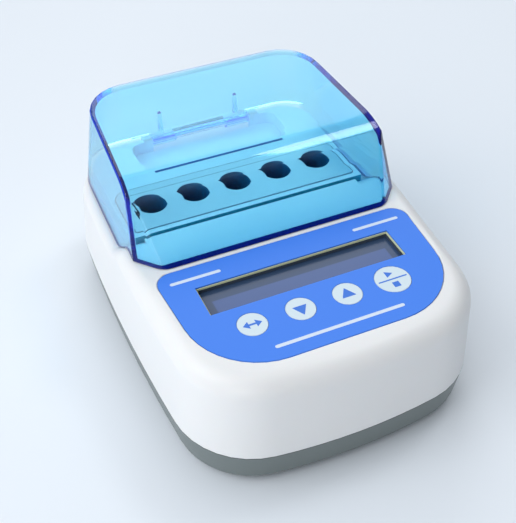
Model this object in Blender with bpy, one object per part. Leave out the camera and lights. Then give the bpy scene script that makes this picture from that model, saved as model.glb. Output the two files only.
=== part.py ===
"""Biological indicator incubator with a hinged clear lid.

A small bench instrument: a grey base tray, a white upper housing with a keypad panel,
a metal heating block with five wells, and a see-through lid that swings up on a pin at
the back. Units are metres, +Z is up, +X is to the right of the keypad and the keypad
faces -Y. The origin is on the bench, under the middle of the case.
"""

from math import acos, asin, atan2, cos, pi, radians, sin, sqrt, tan

import bmesh
import bpy
from mathutils import Matrix, Vector

MM = 0.001

# Clearance that a seated piece keeps to its neighbour
GAP = 0.3 * MM

# How far a cutter reaches past what it cuts, and how near points are to be one
OVERSHOOT = 4 * MM
MERGE_DISTANCE = 0.001 * MM

# How many flats stand for a round or a fillet
SCREW_SEGMENTS = 10
HOLE_SEGMENTS = 12
BOSS_SEGMENTS = 12
ROUND_SEGMENTS = 20
KEY_SEGMENTS = 24
SMALL_FILLET_STEPS = 3
FILLET_STEPS = 6
LARGE_FILLET_STEPS = 10
EAR_STEPS = 10
KNUCKLE_STEPS = 12

# Shares of a screw's head height and shank that its edge and its tip take
SCREW_EDGE_SHARE = 0.3
SCREW_TIP_SHARE = 0.3

# Case outline in plan, made of tangent arcs
BODY_WIDTH = 110 * MM
BODY_LENGTH = 149 * MM
SIDE_RADIUS = 683 * MM
SIDE_BULGE_Y = 5 * MM
END_RADIUS = 205 * MM
CORNER_RADIUS = 28 * MM
END_STEPS = 4
CORNER_STEPS = 8
SIDE_FRONT_STEPS = 4
SIDE_REAR_STEPS = 3

# Case heights and walls
FOOT_STAND = 2 * MM
BASE_HEIGHT = 12.7 * MM
HOUSING_HEIGHT = 31.9 * MM
HOUSING_WALL = 2.4 * MM
HOUSING_DRAFT = 1.5 * MM
SHOULDER_PANEL = 7 * MM
SHOULDER_BAY = 3.2 * MM
SHOULDER_START = 50 * MM
SHOULDER_STEPS = 5
INNER_SHOULDER_STEPS = 3
BASE_WALL = 2.4 * MM
BASE_FLOOR = 2.4 * MM
BASE_TUCK = 1.5 * MM
BASE_ROLL_WIDTH = 3.7 * MM
BASE_ROLL_HEIGHT = 2.2 * MM
BASE_ROLL_STEPS = 4
LIP_HEIGHT = 1.9 * MM
LIP_WALL = 1.2 * MM

# Lid bay: the housing drops behind the panel in an S-shaped step.
# Places along the bay are shares of its length under the lid.
BAY_DROP = 7.1 * MM
BAY_STEP_START_SHARE = 0.177
BAY_STEP_SHARE = 0.173
BAY_STEP_STEPS = 9

# Keypad panel
PANEL_FRONT_MARGIN = 12.3 * MM
PANEL_LENGTH = 49.1 * MM
PANEL_REAR_MARGIN_X = 8.4 * MM
PANEL_FRONT_MARGIN_X = 11.6 * MM
PANEL_REAR_FILLET = 5.5 * MM
PANEL_FRONT_FILLET = 25 * MM
OVERLAY_THICK = 0.6 * MM
OVERLAY_PROUD = 0.1 * MM

# Display window, measured from the rear edge of the panel
WINDOW_WIDTH = 70.8 * MM
WINDOW_DEPTH = 13.3 * MM
WINDOW_SETBACK = 10.1 * MM
DISPLAY_VIEW_WIDTH = 64 * MM
DISPLAY_VIEW_DROP = 6 * MM
DISPLAY_RIM_X = 4 * MM
DISPLAY_RIM_REAR = 2.6 * MM
DISPLAY_RIM_FRONT = 1 * MM
DISPLAY_FRAME_FILLET = 1 * MM
DISPLAY_VIEW_MARGIN = 0.8 * MM
DISPLAY_GLASS_THICK = 2.4 * MM

# Keys
KEY_ROW_SETBACK = 32.2 * MM
KEY_PITCH = 16.67 * MM
KEY_RADIUS = 5 * MM
START_KEY_RADIUS = 6.15 * MM
KEY_FLANGE = 0.8 * MM
KEY_FLANGE_THICK = 0.9 * MM
KEY_STEM_RADIUS = 1.6 * MM
KEY_TRAVEL = 0.5 * MM
KEY_EDGE = 0.15 * MM

# Control board, hung from the underside of the panel
BOARD_DROP = 7.2 * MM
BOARD_THICK = 1.6 * MM
BOARD_SIDE_CLEARANCE = 1.9 * MM
BOARD_FILLET = 2 * MM
BOARD_FRONT_REACH = 8.8 * MM
BOARD_REAR_REACH = 8.7 * MM
BOARD_BOSS_RADIUS = 2.4 * MM
BOARD_BOSS_INSET_X = 3.6 * MM
BOARD_BOSS_INSET_Y = 3.0 * MM
BOARD_SCREW_RADIUS = 1.25 * MM
BOARD_SCREW_HEAD = 2.3 * MM
BOARD_SCREW_HEAD_HEIGHT = 1.6 * MM
BOARD_SCREW_BITE = 4.5 * MM
SWITCH_SIZE = 6 * MM
SWITCH_HEIGHT = 3.2 * MM
SWITCH_PLUNGER_RADIUS = 1.7 * MM
SWITCH_REST_GAP = 0.65 * MM
BUZZER_RADIUS = 4.6 * MM
BUZZER_HEIGHT = 5 * MM
BUZZER_PORT = 0.9 * MM
BUZZER_X = 20 * MM
BUZZER_SETBACK = 18 * MM

# Lid shell
LID_PANEL_GAP = 1.6 * MM
LID_REAR_MARGIN = 8.1 * MM
LID_FRONT_MARGIN_X = 4.4 * MM
LID_REAR_MARGIN_X = 6.8 * MM
LID_WALL = 2 * MM
LID_FACE_HEIGHT = 20.9 * MM
LID_FACE_LEAN = 16.6 * MM
LID_TOP_RISE = 3.7 * MM
LID_BEND_RADIUS = 24 * MM
LID_SIDE_SLOPE = 0.123
LID_REAR_SLOPE = 0.066
LID_CHEEK_SLOPE = 0.49
LID_CHEEK_X = 4.4 * MM
LID_CHEEK_Y = 4.9 * MM
LID_NOSE_FILLET = 7 * MM
LID_CREASE_FILLET = 0.8 * MM
LID_REAR_FILLET = 15 * MM
LID_REAR_LIFT = 5.6 * MM
LID_REAR_LIFT_SETBACK = 6.4 * MM
LID_REAR_LIFT_FILLET = 5.4 * MM

# Hinge at the back of the lid
HINGE_SETBACK = 5.1 * MM
HINGE_DROP = 1.8 * MM
KNUCKLE_RADIUS = 2.2 * MM
KNUCKLE_INNER_X = 10.6 * MM
KNUCKLE_OUTER_X = 20 * MM
KNUCKLE_TURN = 1.25 * pi
FOOT_STRIP_THICK = 1.4 * MM
RIB_X = 15.6 * MM
RIB_THICK = 1.4 * MM
RIB_HEIGHT = 8.8 * MM
RIB_BASE_DEPTH = 3.4 * MM
RIB_TOP_DEPTH = 1.6 * MM
PIN_RADIUS = 1 * MM
EAR_THICK = 3.4 * MM
LID_OPEN_DEGREES = 95

# Raised island round the block
ISLAND_MARGIN = 2 * MM
ISLAND_FRONT_MARGIN = 2.3 * MM
ISLAND_REAR_FILLET = 12 * MM
ISLAND_PAD_INSET = 3.5 * MM
GROOVE_WIDTH = 1.6 * MM
GROOVE_DEPTH = 4.8 * MM
TRAY_MARGIN_X = 14.4 * MM
TRAY_SHARE = 0.2
TRAY_DEPTH = 5 * MM
TRAY_FILLET = 4 * MM
TRAY_REAR_WALL = 2 * MM
SLOT_MARGIN_X = 18.1 * MM
SLOT_LENGTH = 1.4 * MM
SLOT_DEPTH = 3.5 * MM
SLOT_WALL = 1.4 * MM

# Heating block
BLOCK_SETBACK_SHARE = 0.282
BLOCK_SHARE = 0.304
BLOCK_MARGIN_X = 12.9 * MM
BLOCK_OFFSET_X = -1.4 * MM
BLOCK_FRONT_FILLET = 1 * MM
BLOCK_REAR_FILLET = 6 * MM
BLOCK_PROUD = 0.2 * MM
BLOCK_SHOULDER = 2 * MM
BLOCK_BODY_HEIGHT = 19.8 * MM
WELL_COUNT = 5
WELL_EDGE = 9.1 * MM
WELL_RADIUS = 5.75 * MM
WELL_FLAT = 4.9 * MM
WELL_DEPTH = 24 * MM
WELL_SETBACK_SHARE = 0.54
WELL_STEPS = 9

# Heater stack under the block
HEATER_THICK = 1.5 * MM
HEATER_MARGIN = 3 * MM
CLAMP_THICK = 1.5 * MM
CLAMP_SCREW_INSET_X = 11.1 * MM
CLAMP_EDGE = 4 * MM
CLAMP_FILLET = 3 * MM
CLAMP_BOSS_RADIUS = 2.6 * MM
CLAMP_SCREW_RADIUS = 1.5 * MM
CLAMP_SCREW_HEAD = 2.8 * MM
CLAMP_SCREW_HEAD_HEIGHT = 1.6 * MM
CLAMP_SCREW_BITE = 9 * MM
JACKET_WALL = 2.6 * MM
JACKET_BOSS_GAP = 0.6 * MM
SENSOR_RADIUS = 1.5 * MM
SENSOR_DEPTH = 6 * MM
SENSOR_TAIL = 1.2 * MM
SENSOR_DROP = 8 * MM
CUTOUT_WIDTH = 14 * MM
CUTOUT_HEIGHT = 6 * MM
CUTOUT_TAIL = 0.6 * MM
CUTOUT_DROP = 9 * MM
CUTOUT_FILLET = 0.8 * MM

# Case screws and feet
CASE_SCREW_RADIUS = 1.5 * MM
CASE_SCREW_HEAD = 2.9 * MM
CASE_SCREW_HEAD_HEIGHT = 2 * MM
CASE_SCREW_SINK = 0.9 * MM
CASE_SCREW_BITE = 10 * MM
CASE_BOSS_RADIUS = 3.6 * MM
BASE_BOSS_RADIUS = 4.6 * MM
BASE_BOSS_HEIGHT = 7.6 * MM
FRONT_SCREW_MARGIN_X = 12.5 * MM
FRONT_SCREW_MARGIN = 26.5 * MM
REAR_SCREW_MARGIN_X = 18.5 * MM
REAR_SCREW_MARGIN = 16.5 * MM
FOOT_RADIUS = 5 * MM
FOOT_EDGE = 0.5 * MM
FOOT_RECESS = 0.9 * MM
FRONT_FOOT_MARGIN_X = 25 * MM
FRONT_FOOT_MARGIN = 15.5 * MM
REAR_FOOT_MARGIN_X = 31 * MM
REAR_FOOT_MARGIN = 13.5 * MM

# Rear connector panel
POCKET_WIDTH = 52 * MM
POCKET_HEIGHT = 14.4 * MM
POCKET_RISE = 3.1 * MM
POCKET_INSET = 3.9 * MM
POCKET_PAD_MARGIN = 2 * MM
ROCKER_X = -12 * MM
ROCKER_BEZEL_WIDTH = 19 * MM
ROCKER_BEZEL_HEIGHT = 13 * MM
ROCKER_BEZEL_THICK = 1.5 * MM
ROCKER_BEZEL_FILLET = 1 * MM
ROCKER_BODY_WIDTH = 16.8 * MM
ROCKER_BODY_HEIGHT = 10.8 * MM
ROCKER_BODY_DEPTH = 11 * MM
ROCKER_CAVITY_DEPTH = 6.5 * MM
ROCKER_CAVITY_WALL = 0.9 * MM
ROCKER_TILT_DEGREES = 8
ROCKER_PIVOT_DEPTH = 3 * MM
ROCKER_KEEL = 2.4 * MM
ROCKER_TOP_SHARE = 0.96
ROCKER_STEPS = 8
ROCKER_CROWN = 1.1 * MM
INLET_X = 14 * MM
INLET_FLANGE_RADIUS = 5.8 * MM
INLET_FLANGE_THICK = 1.4 * MM
INLET_EDGE = 0.4 * MM
INLET_BODY_RADIUS = 4.6 * MM
INLET_BODY_DEPTH = 12 * MM
INLET_BORE_RADIUS = 2.9 * MM
INLET_BORE_DEPTH = 9.5 * MM
INLET_PIN_RADIUS = 1 * MM
INLET_PIN_SHORT = 1 * MM

# Levels
BASE_Z = FOOT_STAND
SEAM_Z = BASE_Z + BASE_HEIGHT
HOUSING_Z = SEAM_Z + GAP / 2
BASE_RIM_Z = SEAM_Z - GAP / 2
PANEL_Z = SEAM_Z + HOUSING_HEIGHT
BAY_Z = PANEL_Z - BAY_DROP
PANEL_UNDER_Z = PANEL_Z - HOUSING_WALL
BAY_UNDER_Z = BAY_Z - HOUSING_WALL
BASE_FLOOR_Z = BASE_Z + BASE_FLOOR

# Places along the case, from front to back
FRONT_Y = -BODY_LENGTH / 2
REAR_Y = BODY_LENGTH / 2
PANEL_FRONT_Y = FRONT_Y + PANEL_FRONT_MARGIN
PANEL_REAR_Y = PANEL_FRONT_Y + PANEL_LENGTH
LID_FRONT_Y = PANEL_REAR_Y + LID_PANEL_GAP
LID_REAR_Y = REAR_Y - LID_REAR_MARGIN
BAY_LENGTH = LID_REAR_Y - LID_FRONT_Y
BAY_STEP_LENGTH = BAY_LENGTH * BAY_STEP_SHARE
STEP_START_Y = LID_FRONT_Y + BAY_LENGTH * BAY_STEP_START_SHARE
STEP_END_Y = STEP_START_Y + BAY_STEP_LENGTH
SHOULDER_START_Y = FRONT_Y + SHOULDER_START
BLOCK_LENGTH = BAY_LENGTH * BLOCK_SHARE
BLOCK_FRONT_Y = LID_FRONT_Y + BAY_LENGTH * BLOCK_SETBACK_SHARE
BLOCK_REAR_Y = BLOCK_FRONT_Y + BLOCK_LENGTH
ISLAND_FRONT_Y = BLOCK_FRONT_Y - ISLAND_FRONT_MARGIN
HINGE_Y = LID_REAR_Y - HINGE_SETBACK
HINGE_Z = PANEL_Z - HINGE_DROP
ISLAND_REAR_Y = HINGE_Y - 2 * GAP
TRAY_REAR_Y = ISLAND_REAR_Y - TRAY_REAR_WALL
TRAY_FRONT_Y = TRAY_REAR_Y - BAY_LENGTH * TRAY_SHARE
WINDOW_REAR_Y = PANEL_REAR_Y - WINDOW_SETBACK
WINDOW_FRONT_Y = WINDOW_REAR_Y - WINDOW_DEPTH
KEY_Y = PANEL_REAR_Y - KEY_ROW_SETBACK
BOARD_TOP_Z = PANEL_UNDER_Z - BOARD_DROP
BOARD_FRONT_Y = KEY_Y - BOARD_FRONT_REACH
BOARD_REAR_Y = WINDOW_REAR_Y + BOARD_REAR_REACH

# Widths that follow the case
BLOCK_WIDTH = BODY_WIDTH - 2 * BLOCK_MARGIN_X
WELL_PITCH = (BLOCK_WIDTH - 2 * WELL_EDGE) / (WELL_COUNT - 1)
ISLAND_HALF_WIDTH = BLOCK_WIDTH / 2 + ISLAND_MARGIN
TRAY_HALF_WIDTH = ISLAND_HALF_WIDTH - TRAY_MARGIN_X
SLOT_HALF_WIDTH = ISLAND_HALF_WIDTH - SLOT_MARGIN_X
CLAMP_SCREW_X = BLOCK_WIDTH / 2 - CLAMP_SCREW_INSET_X
FRONT_SCREW_X = BODY_WIDTH / 2 - FRONT_SCREW_MARGIN_X
REAR_SCREW_X = BODY_WIDTH / 2 - REAR_SCREW_MARGIN_X
FRONT_FOOT_X = BODY_WIDTH / 2 - FRONT_FOOT_MARGIN_X
REAR_FOOT_X = BODY_WIDTH / 2 - REAR_FOOT_MARGIN_X
BOARD_WIDTH = 2 * (FRONT_SCREW_X - CASE_BOSS_RADIUS - BOARD_SIDE_CLEARANCE)

# Levels of the lid, the block and the rear panel
LID_EDGE_Z = PANEL_Z + GAP
LID_SKIRT_Z = BAY_Z + GAP
LID_REAR_EDGE_Z = LID_SKIRT_Z + LID_REAR_LIFT
LID_LOFT_TOP_Z = PANEL_Z + LID_FACE_HEIGHT + 2 * LID_TOP_RISE
BLOCK_TOP_Z = PANEL_Z + BLOCK_PROUD
BLOCK_SHOULDER_Z = BAY_UNDER_Z - GAP
BLOCK_BOTTOM_Z = BLOCK_SHOULDER_Z - BLOCK_BODY_HEIGHT
HEATER_BOTTOM_Z = BLOCK_BOTTOM_Z - GAP - HEATER_THICK
CLAMP_TOP_Z = HEATER_BOTTOM_Z - GAP
CLAMP_BOTTOM_Z = CLAMP_TOP_Z - CLAMP_THICK
POCKET_BOTTOM_Z = SEAM_Z + POCKET_RISE
POCKET_TOP_Z = POCKET_BOTTOM_Z + POCKET_HEIGHT
POCKET_MID_Z = POCKET_BOTTOM_Z + POCKET_HEIGHT / 2
POCKET_Y = REAR_Y - POCKET_INSET

# Colours and finishes
WHITE_PLASTIC = ((0.86, 0.87, 0.88, 1), 0.3, 0)
GREY_PLASTIC = ((0.30, 0.34, 0.34, 1), 0.4, 0)
BLUE_FILM = ((0.08, 0.27, 0.90, 1), 0.35, 0)
KEY_WHITE = ((0.80, 0.84, 0.88, 1), 0.35, 0)
CLEAR_BLUE = ((0.10, 0.52, 0.85, 0.35), 0.1, 0)
BARE_METAL = ((0.75, 0.76, 0.77, 1), 0.35, 1)
STEEL = ((0.55, 0.56, 0.58, 1), 0.3, 1)
BLACK_PLASTIC = ((0.03, 0.03, 0.035, 1), 0.4, 0)
DISPLAY_DARK = ((0.10, 0.12, 0.22, 1), 0.15, 0)
BOARD_GREEN = ((0.02, 0.18, 0.08, 1), 0.5, 0)
HEATER_ORANGE = ((0.65, 0.22, 0.05, 1), 0.6, 0)
FOAM_GREY = ((0.20, 0.20, 0.21, 1), 0.9, 0)
RUBBER_BLACK = ((0.02, 0.02, 0.02, 1), 0.8, 0)


def clear_scene():
    """Remove every object that the scene holds."""
    for thing in list(bpy.data.objects):
        bpy.data.objects.remove(thing, do_unlink=True)


def make_material(name, finish):
    """Give a Principled material with a colour, a roughness and a metallic value."""
    colour, roughness, metallic = finish
    material = bpy.data.materials.new(name)
    material.use_nodes = True
    material.diffuse_color = colour
    shader = material.node_tree.nodes["Principled BSDF"]
    shader.inputs["Base Color"].default_value = (*colour[:3], 1)
    shader.inputs["Alpha"].default_value = colour[3]
    shader.inputs["Roughness"].default_value = roughness
    shader.inputs["Metallic"].default_value = metallic
    return material


def make_object(name, bm, finish, sharp_degrees=35):
    """Turn a bmesh into a named object with its own material."""
    bmesh.ops.remove_doubles(bm, verts=bm.verts, dist=MERGE_DISTANCE)
    bmesh.ops.recalc_face_normals(bm, faces=bm.faces)
    mesh = bpy.data.meshes.new(name)
    bm.to_mesh(mesh)
    bm.free()
    mesh.shade_smooth()
    mesh.set_sharp_from_angle(angle=radians(sharp_degrees))
    mesh.materials.append(make_material(name, finish))
    thing = bpy.data.objects.new(name, mesh)
    bpy.context.scene.collection.objects.link(thing)
    return thing


def make_guide(name, bm):
    """Turn a bmesh into a hidden guide that shapes another object."""
    guide = make_object(name, bm, BLACK_PLASTIC)
    guide.hide_render = True
    guide.display_type = "WIRE"
    return guide


def boolean(thing, operation, guide):
    """Add, cut or keep the volume of a guide, with an exact Boolean."""
    modifier = thing.modifiers.new(guide.name, "BOOLEAN")
    modifier.operation = operation
    modifier.solver = "EXACT"
    modifier.object = guide


def rest_origin(thing, point):
    """Put an object's origin at a point and leave its shape where it is."""
    thing.data.transform(Matrix.Translation(-Vector(point)))
    thing.location = point


def inset_corners(corners, distance):
    """Move each edge of an anticlockwise polygon inward and give the new corners."""
    count = len(corners)
    moved = []
    for index in range(count):
        before = Vector(corners[index - 1])
        corner = Vector(corners[index])
        after = Vector(corners[(index + 1) % count])
        first = (corner - before).normalized()
        second = (after - corner).normalized()
        first_normal = Vector((-first.y, first.x))
        second_normal = Vector((-second.y, second.x))
        share = distance / (1 + first_normal.dot(second_normal))
        moved.append(tuple(corner + (first_normal + second_normal) * share))
    return moved


def rounded_polygon(corners, radii, steps=FILLET_STEPS):
    """Give the points of an anticlockwise polygon whose corners are filleted."""
    count = len(corners)
    points = []
    for index in range(count):
        corner = Vector(corners[index])
        to_before = (Vector(corners[index - 1]) - corner).normalized()
        to_after = (Vector(corners[(index + 1) % count]) - corner).normalized()
        radius = radii[index]
        if radius <= 0:
            points.append(tuple(corner))
            continue
        half_angle = acos(max(-1, min(1, to_before.dot(to_after)))) / 2
        centre = corner + (to_before + to_after).normalized() * (radius / sin(half_angle))
        start = corner + to_before * (radius / tan(half_angle)) - centre
        turn = pi - 2 * half_angle
        side = 1 if to_before.x * to_after.y - to_before.y * to_after.x < 0 else -1
        for step in range(steps + 1):
            angle = side * turn * step / steps
            points.append((
                centre.x + start.x * cos(angle) - start.y * sin(angle),
                centre.y + start.x * sin(angle) + start.y * cos(angle),
            ))
    return points


def rectangle(x_low, x_high, y_low, y_high):
    """Give the four corners of a rectangle, anticlockwise."""
    return [(x_low, y_low), (x_high, y_low), (x_high, y_high), (x_low, y_high)]


def circle(centre_x, centre_y, radius, segments=ROUND_SEGMENTS):
    """Give the points of a circle, anticlockwise."""
    return [
        (centre_x + radius * cos(2 * pi * step / segments),
         centre_y + radius * sin(2 * pi * step / segments))
        for step in range(segments)
    ]


def add_prism(bm, outline, z_low, z_high):
    """Extrude a plan outline upwards into a closed prism."""
    base = bm.faces.new([bm.verts.new((x, y, z_low)) for x, y in outline])
    grown = bmesh.ops.extrude_face_region(bm, geom=[base], use_keep_orig=True)
    risen = [item for item in grown["geom"] if isinstance(item, bmesh.types.BMVert)]
    bmesh.ops.translate(bm, verts=risen, vec=(0, 0, z_high - z_low))


def add_side_prism(bm, profile, x_low, x_high):
    """Extrude a side profile of (y, z) points along X into a closed prism."""
    base = bm.faces.new([bm.verts.new((x_low, y, z)) for y, z in profile])
    grown = bmesh.ops.extrude_face_region(bm, geom=[base], use_keep_orig=True)
    moved = [item for item in grown["geom"] if isinstance(item, bmesh.types.BMVert)]
    bmesh.ops.translate(bm, verts=moved, vec=(x_high - x_low, 0, 0))


def add_back_prism(bm, outline, y_low, y_high):
    """Extrude an upright outline of (x, z) points along Y into a closed prism."""
    base = bm.faces.new([bm.verts.new((x, y_low, z)) for x, z in outline])
    grown = bmesh.ops.extrude_face_region(bm, geom=[base], use_keep_orig=True)
    moved = [item for item in grown["geom"] if isinstance(item, bmesh.types.BMVert)]
    bmesh.ops.translate(bm, verts=moved, vec=(0, y_high - y_low, 0))


def add_loft(bm, low_outline, z_low, high_outline, z_high):
    """Join two outlines of the same count at two heights into a closed solid."""
    low = [bm.verts.new((x, y, z_low)) for x, y in low_outline]
    high = [bm.verts.new((x, y, z_high)) for x, y in high_outline]
    bm.faces.new(list(reversed(low)))
    bm.faces.new(high)
    for index in range(len(low)):
        after = (index + 1) % len(low)
        bm.faces.new([low[index], low[after], high[after], high[index]])


def add_turned(bm, profile, place, axis="Z", segments=ROUND_SEGMENTS):
    """Spin a profile of (radius, height) points about an axis through a place."""
    points = [bm.verts.new((radius, 0, height)) for radius, height in profile]
    edges = [bm.edges.new(pair) for pair in zip(points, points[1:])]
    bmesh.ops.spin(
        bm, geom=points + edges, cent=(0, 0, 0), axis=(0, 0, 1), angle=2 * pi,
        steps=segments, use_merge=True,
    )
    own = set(points)
    frontier = list(points)
    while frontier:
        for edge in frontier.pop().link_edges:
            for vert in edge.verts:
                if vert not in own:
                    own.add(vert)
                    frontier.append(vert)
    turn = Matrix.Identity(4)
    if axis == "X":
        turn = Matrix.Rotation(pi / 2, 4, "Y")
    if axis == "Y":
        turn = Matrix.Rotation(-pi / 2, 4, "X")
    bmesh.ops.transform(bm, matrix=Matrix.Translation(place) @ turn, verts=list(own))
    bmesh.ops.remove_doubles(bm, verts=list(own), dist=MERGE_DISTANCE)


def drum(radius, low, high):
    """Give the turned profile of a plain round plug."""
    return [(0, low), (radius, low), (radius, high), (0, high)]


def screw_profile(head_radius, head_height, shank_radius, length):
    """Give the turned profile of a pan-head screw that points up from its head."""
    rim = SCREW_EDGE_SHARE * head_height
    return [
        (0, 0), (head_radius - rim, 0), (head_radius, rim), (head_radius, head_height),
        (shank_radius, head_height), (shank_radius, length - shank_radius),
        (SCREW_TIP_SHARE * shank_radius, length), (0, length),
    ]


def corner_centre():
    """Give the centre of the front right corner arc, tangent to side and front arcs."""
    side = Vector((BODY_WIDTH / 2 - SIDE_RADIUS, SIDE_BULGE_Y))
    front = Vector((0, FRONT_Y + END_RADIUS))
    side_reach = SIDE_RADIUS - CORNER_RADIUS
    front_reach = END_RADIUS - CORNER_RADIUS
    between = front - side
    distance = between.length
    along = (side_reach ** 2 - front_reach ** 2 + distance ** 2) / (2 * distance)
    across = sqrt(side_reach ** 2 - along ** 2)
    unit = between.normalized()
    return side + unit * along + Vector((unit.y, -unit.x)) * across


def rear_corner_centre():
    """Give the centre of the rear right corner arc."""
    side = Vector((BODY_WIDTH / 2 - SIDE_RADIUS, SIDE_BULGE_Y))
    rear = Vector((0, REAR_Y - END_RADIUS))
    side_reach = SIDE_RADIUS - CORNER_RADIUS
    rear_reach = END_RADIUS - CORNER_RADIUS
    between = rear - side
    distance = between.length
    along = (side_reach ** 2 - rear_reach ** 2 + distance ** 2) / (2 * distance)
    across = sqrt(side_reach ** 2 - along ** 2)
    unit = between.normalized()
    return side + unit * along + Vector((-unit.y, unit.x)) * across


def arc_points(centre, radius, start, end, steps, skip_first=False):
    """Give points and outward normals along an arc."""
    first = 1 if skip_first else 0
    points = []
    for step in range(first, steps + 1):
        angle = start + (end - start) * step / steps
        normal = (cos(angle), sin(angle))
        points.append((centre[0] + radius * normal[0], centre[1] + radius * normal[1], *normal))
    return points


def right_outline():
    """Give the right half of the case outline, front middle to rear middle.

    Each entry is a point and its outward normal. The side has a point at every
    station of the S-shaped step, so that the step's curve lands on them.
    """
    front = (0, FRONT_Y + END_RADIUS)
    rear = (0, REAR_Y - END_RADIUS)
    side = (BODY_WIDTH / 2 - SIDE_RADIUS, SIDE_BULGE_Y)
    corner = corner_centre()
    rear_corner = rear_corner_centre()
    front_turn = atan2(corner.y - front[1], corner.x)
    side_turn = atan2(corner.y - side[1], corner.x - side[0])
    rear_side_turn = atan2(rear_corner.y - side[1], rear_corner.x - side[0])
    rear_turn = atan2(rear_corner.y - rear[1], rear_corner.x)
    points = arc_points(front, END_RADIUS, -pi / 2, front_turn, END_STEPS)
    points += arc_points(corner, CORNER_RADIUS, front_turn, side_turn, CORNER_STEPS, True)
    low_y = side[1] + SIDE_RADIUS * sin(side_turn)
    high_y = side[1] + SIDE_RADIUS * sin(rear_side_turn)
    stations = [
        low_y + (STEP_START_Y - low_y) * share / SIDE_FRONT_STEPS
        for share in range(1, SIDE_FRONT_STEPS)
    ]
    stations += [
        STEP_START_Y + BAY_STEP_LENGTH * share / BAY_STEP_STEPS
        for share in range(BAY_STEP_STEPS + 1)
    ]
    stations += [
        STEP_END_Y + (high_y - STEP_END_Y) * share / SIDE_REAR_STEPS
        for share in range(1, SIDE_REAR_STEPS)
    ]
    for station in stations:
        angle = asin((station - side[1]) / SIDE_RADIUS)
        points += arc_points(side, SIDE_RADIUS, angle, angle, 1, True)
    points += arc_points(rear_corner, CORNER_RADIUS, rear_side_turn, rear_turn, CORNER_STEPS)
    points += arc_points(rear, END_RADIUS, rear_turn, pi / 2, END_STEPS, True)
    return points


def case_ring(outline, inset, level):
    """Give the closed ring of 3-D points at an inset and a level, both set by y."""
    right = []
    for x, y, normal_x, normal_y in outline:
        depth = inset(y)
        moved_y = y - normal_y * depth
        right.append(Vector((x - normal_x * depth, moved_y, level(moved_y))))
    right[0].x = 0
    right[-1].x = 0
    left = [Vector((-point.x, point.y, point.z)) for point in reversed(right[1:-1])]
    return right + left


def add_case_shell(bm, rings):
    """Join rings into one closed skin, with a cap of cross strips at each end."""
    loops = [[bm.verts.new(point) for point in ring] for ring in rings]
    count = len(loops[0])
    half = count // 2
    for lower, upper in zip(loops, loops[1:]):
        for index in range(count):
            after = (index + 1) % count
            bm.faces.new([lower[index], lower[after], upper[after], upper[index]])
    for loop in (loops[0], loops[-1]):
        for index in range(half):
            strip = [loop[index], loop[index + 1]]
            for other in ((count - index - 1) % count, (count - index) % count):
                if loop[other] not in strip:
                    strip.append(loop[other])
            bm.faces.new(strip)


def housing_top(y):
    """Give the height of the housing's top: panel level, S-shaped step, lid bay."""
    share = (y - STEP_START_Y) / BAY_STEP_LENGTH
    share = max(0, min(1, share))
    return PANEL_Z - BAY_DROP * (0.5 - 0.5 * cos(pi * share))


def shoulder_radius(y):
    """Give the rounding of the housing's top edge, larger at the panel than the bay."""
    share = (y - SHOULDER_START_Y) / (STEP_END_Y - SHOULDER_START_Y)
    share = max(0, min(1, share))
    return SHOULDER_PANEL + (SHOULDER_BAY - SHOULDER_PANEL) * share


def housing_rings(outline, offset, low_z, steps):
    """Give the rings of the housing's outside, or of its inside when offset by a wall."""
    def wall_ring(angle):
        turn_in = 1 - cos(angle)
        turn_up = 1 - sin(angle)
        return case_ring(
            outline,
            lambda y: offset + HOUSING_DRAFT + shoulder_radius(y) * turn_in,
            lambda y: housing_top(y) - offset - shoulder_radius(y) * turn_up,
        )
    rings = [case_ring(outline, lambda y: offset, lambda y: low_z)]
    for step in range(steps + 1):
        rings.append(wall_ring(pi / 2 * step / steps))
    return rings


def panel_corners():
    """Give the corners of the keypad film, a trapezium that narrows to the front."""
    rear_half = BODY_WIDTH / 2 - PANEL_REAR_MARGIN_X
    front_half = BODY_WIDTH / 2 - PANEL_FRONT_MARGIN_X
    return [
        (-front_half, PANEL_FRONT_Y), (front_half, PANEL_FRONT_Y),
        (rear_half, PANEL_REAR_Y), (-rear_half, PANEL_REAR_Y),
    ]


def panel_outline(inset):
    """Give the filleted outline of the keypad film, moved inward by an inset."""
    front = PANEL_FRONT_FILLET - inset
    rear = PANEL_REAR_FILLET - inset
    return rounded_polygon(inset_corners(panel_corners(), inset), [front, front, rear, rear],
                           LARGE_FILLET_STEPS)


def block_corners():
    """Give the corners of the heating block's top plate."""
    half = BLOCK_WIDTH / 2
    return rectangle(BLOCK_OFFSET_X - half, BLOCK_OFFSET_X + half, BLOCK_FRONT_Y, BLOCK_REAR_Y)


def block_outline(inset):
    """Give the block's outline: square at the front, rounded at the back."""
    front = BLOCK_FRONT_FILLET - inset
    rear = BLOCK_REAR_FILLET - inset
    return rounded_polygon(inset_corners(block_corners(), inset), [front, front, rear, rear])


def key_places():
    """Give each key's name, place along X and radius."""
    names = ["key_cursor", "key_down", "key_up", "key_start_stop"]
    radii = [KEY_RADIUS, KEY_RADIUS, KEY_RADIUS, START_KEY_RADIUS]
    return [
        (name, (index - 1.5) * KEY_PITCH, radius)
        for index, (name, radius) in enumerate(zip(names, radii))
    ]


def case_screw_places():
    """Give the four places of the case screws."""
    front_y = FRONT_Y + FRONT_SCREW_MARGIN
    rear_y = REAR_Y - REAR_SCREW_MARGIN
    return [
        (-FRONT_SCREW_X, front_y), (FRONT_SCREW_X, front_y),
        (-REAR_SCREW_X, rear_y), (REAR_SCREW_X, rear_y),
    ]


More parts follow.
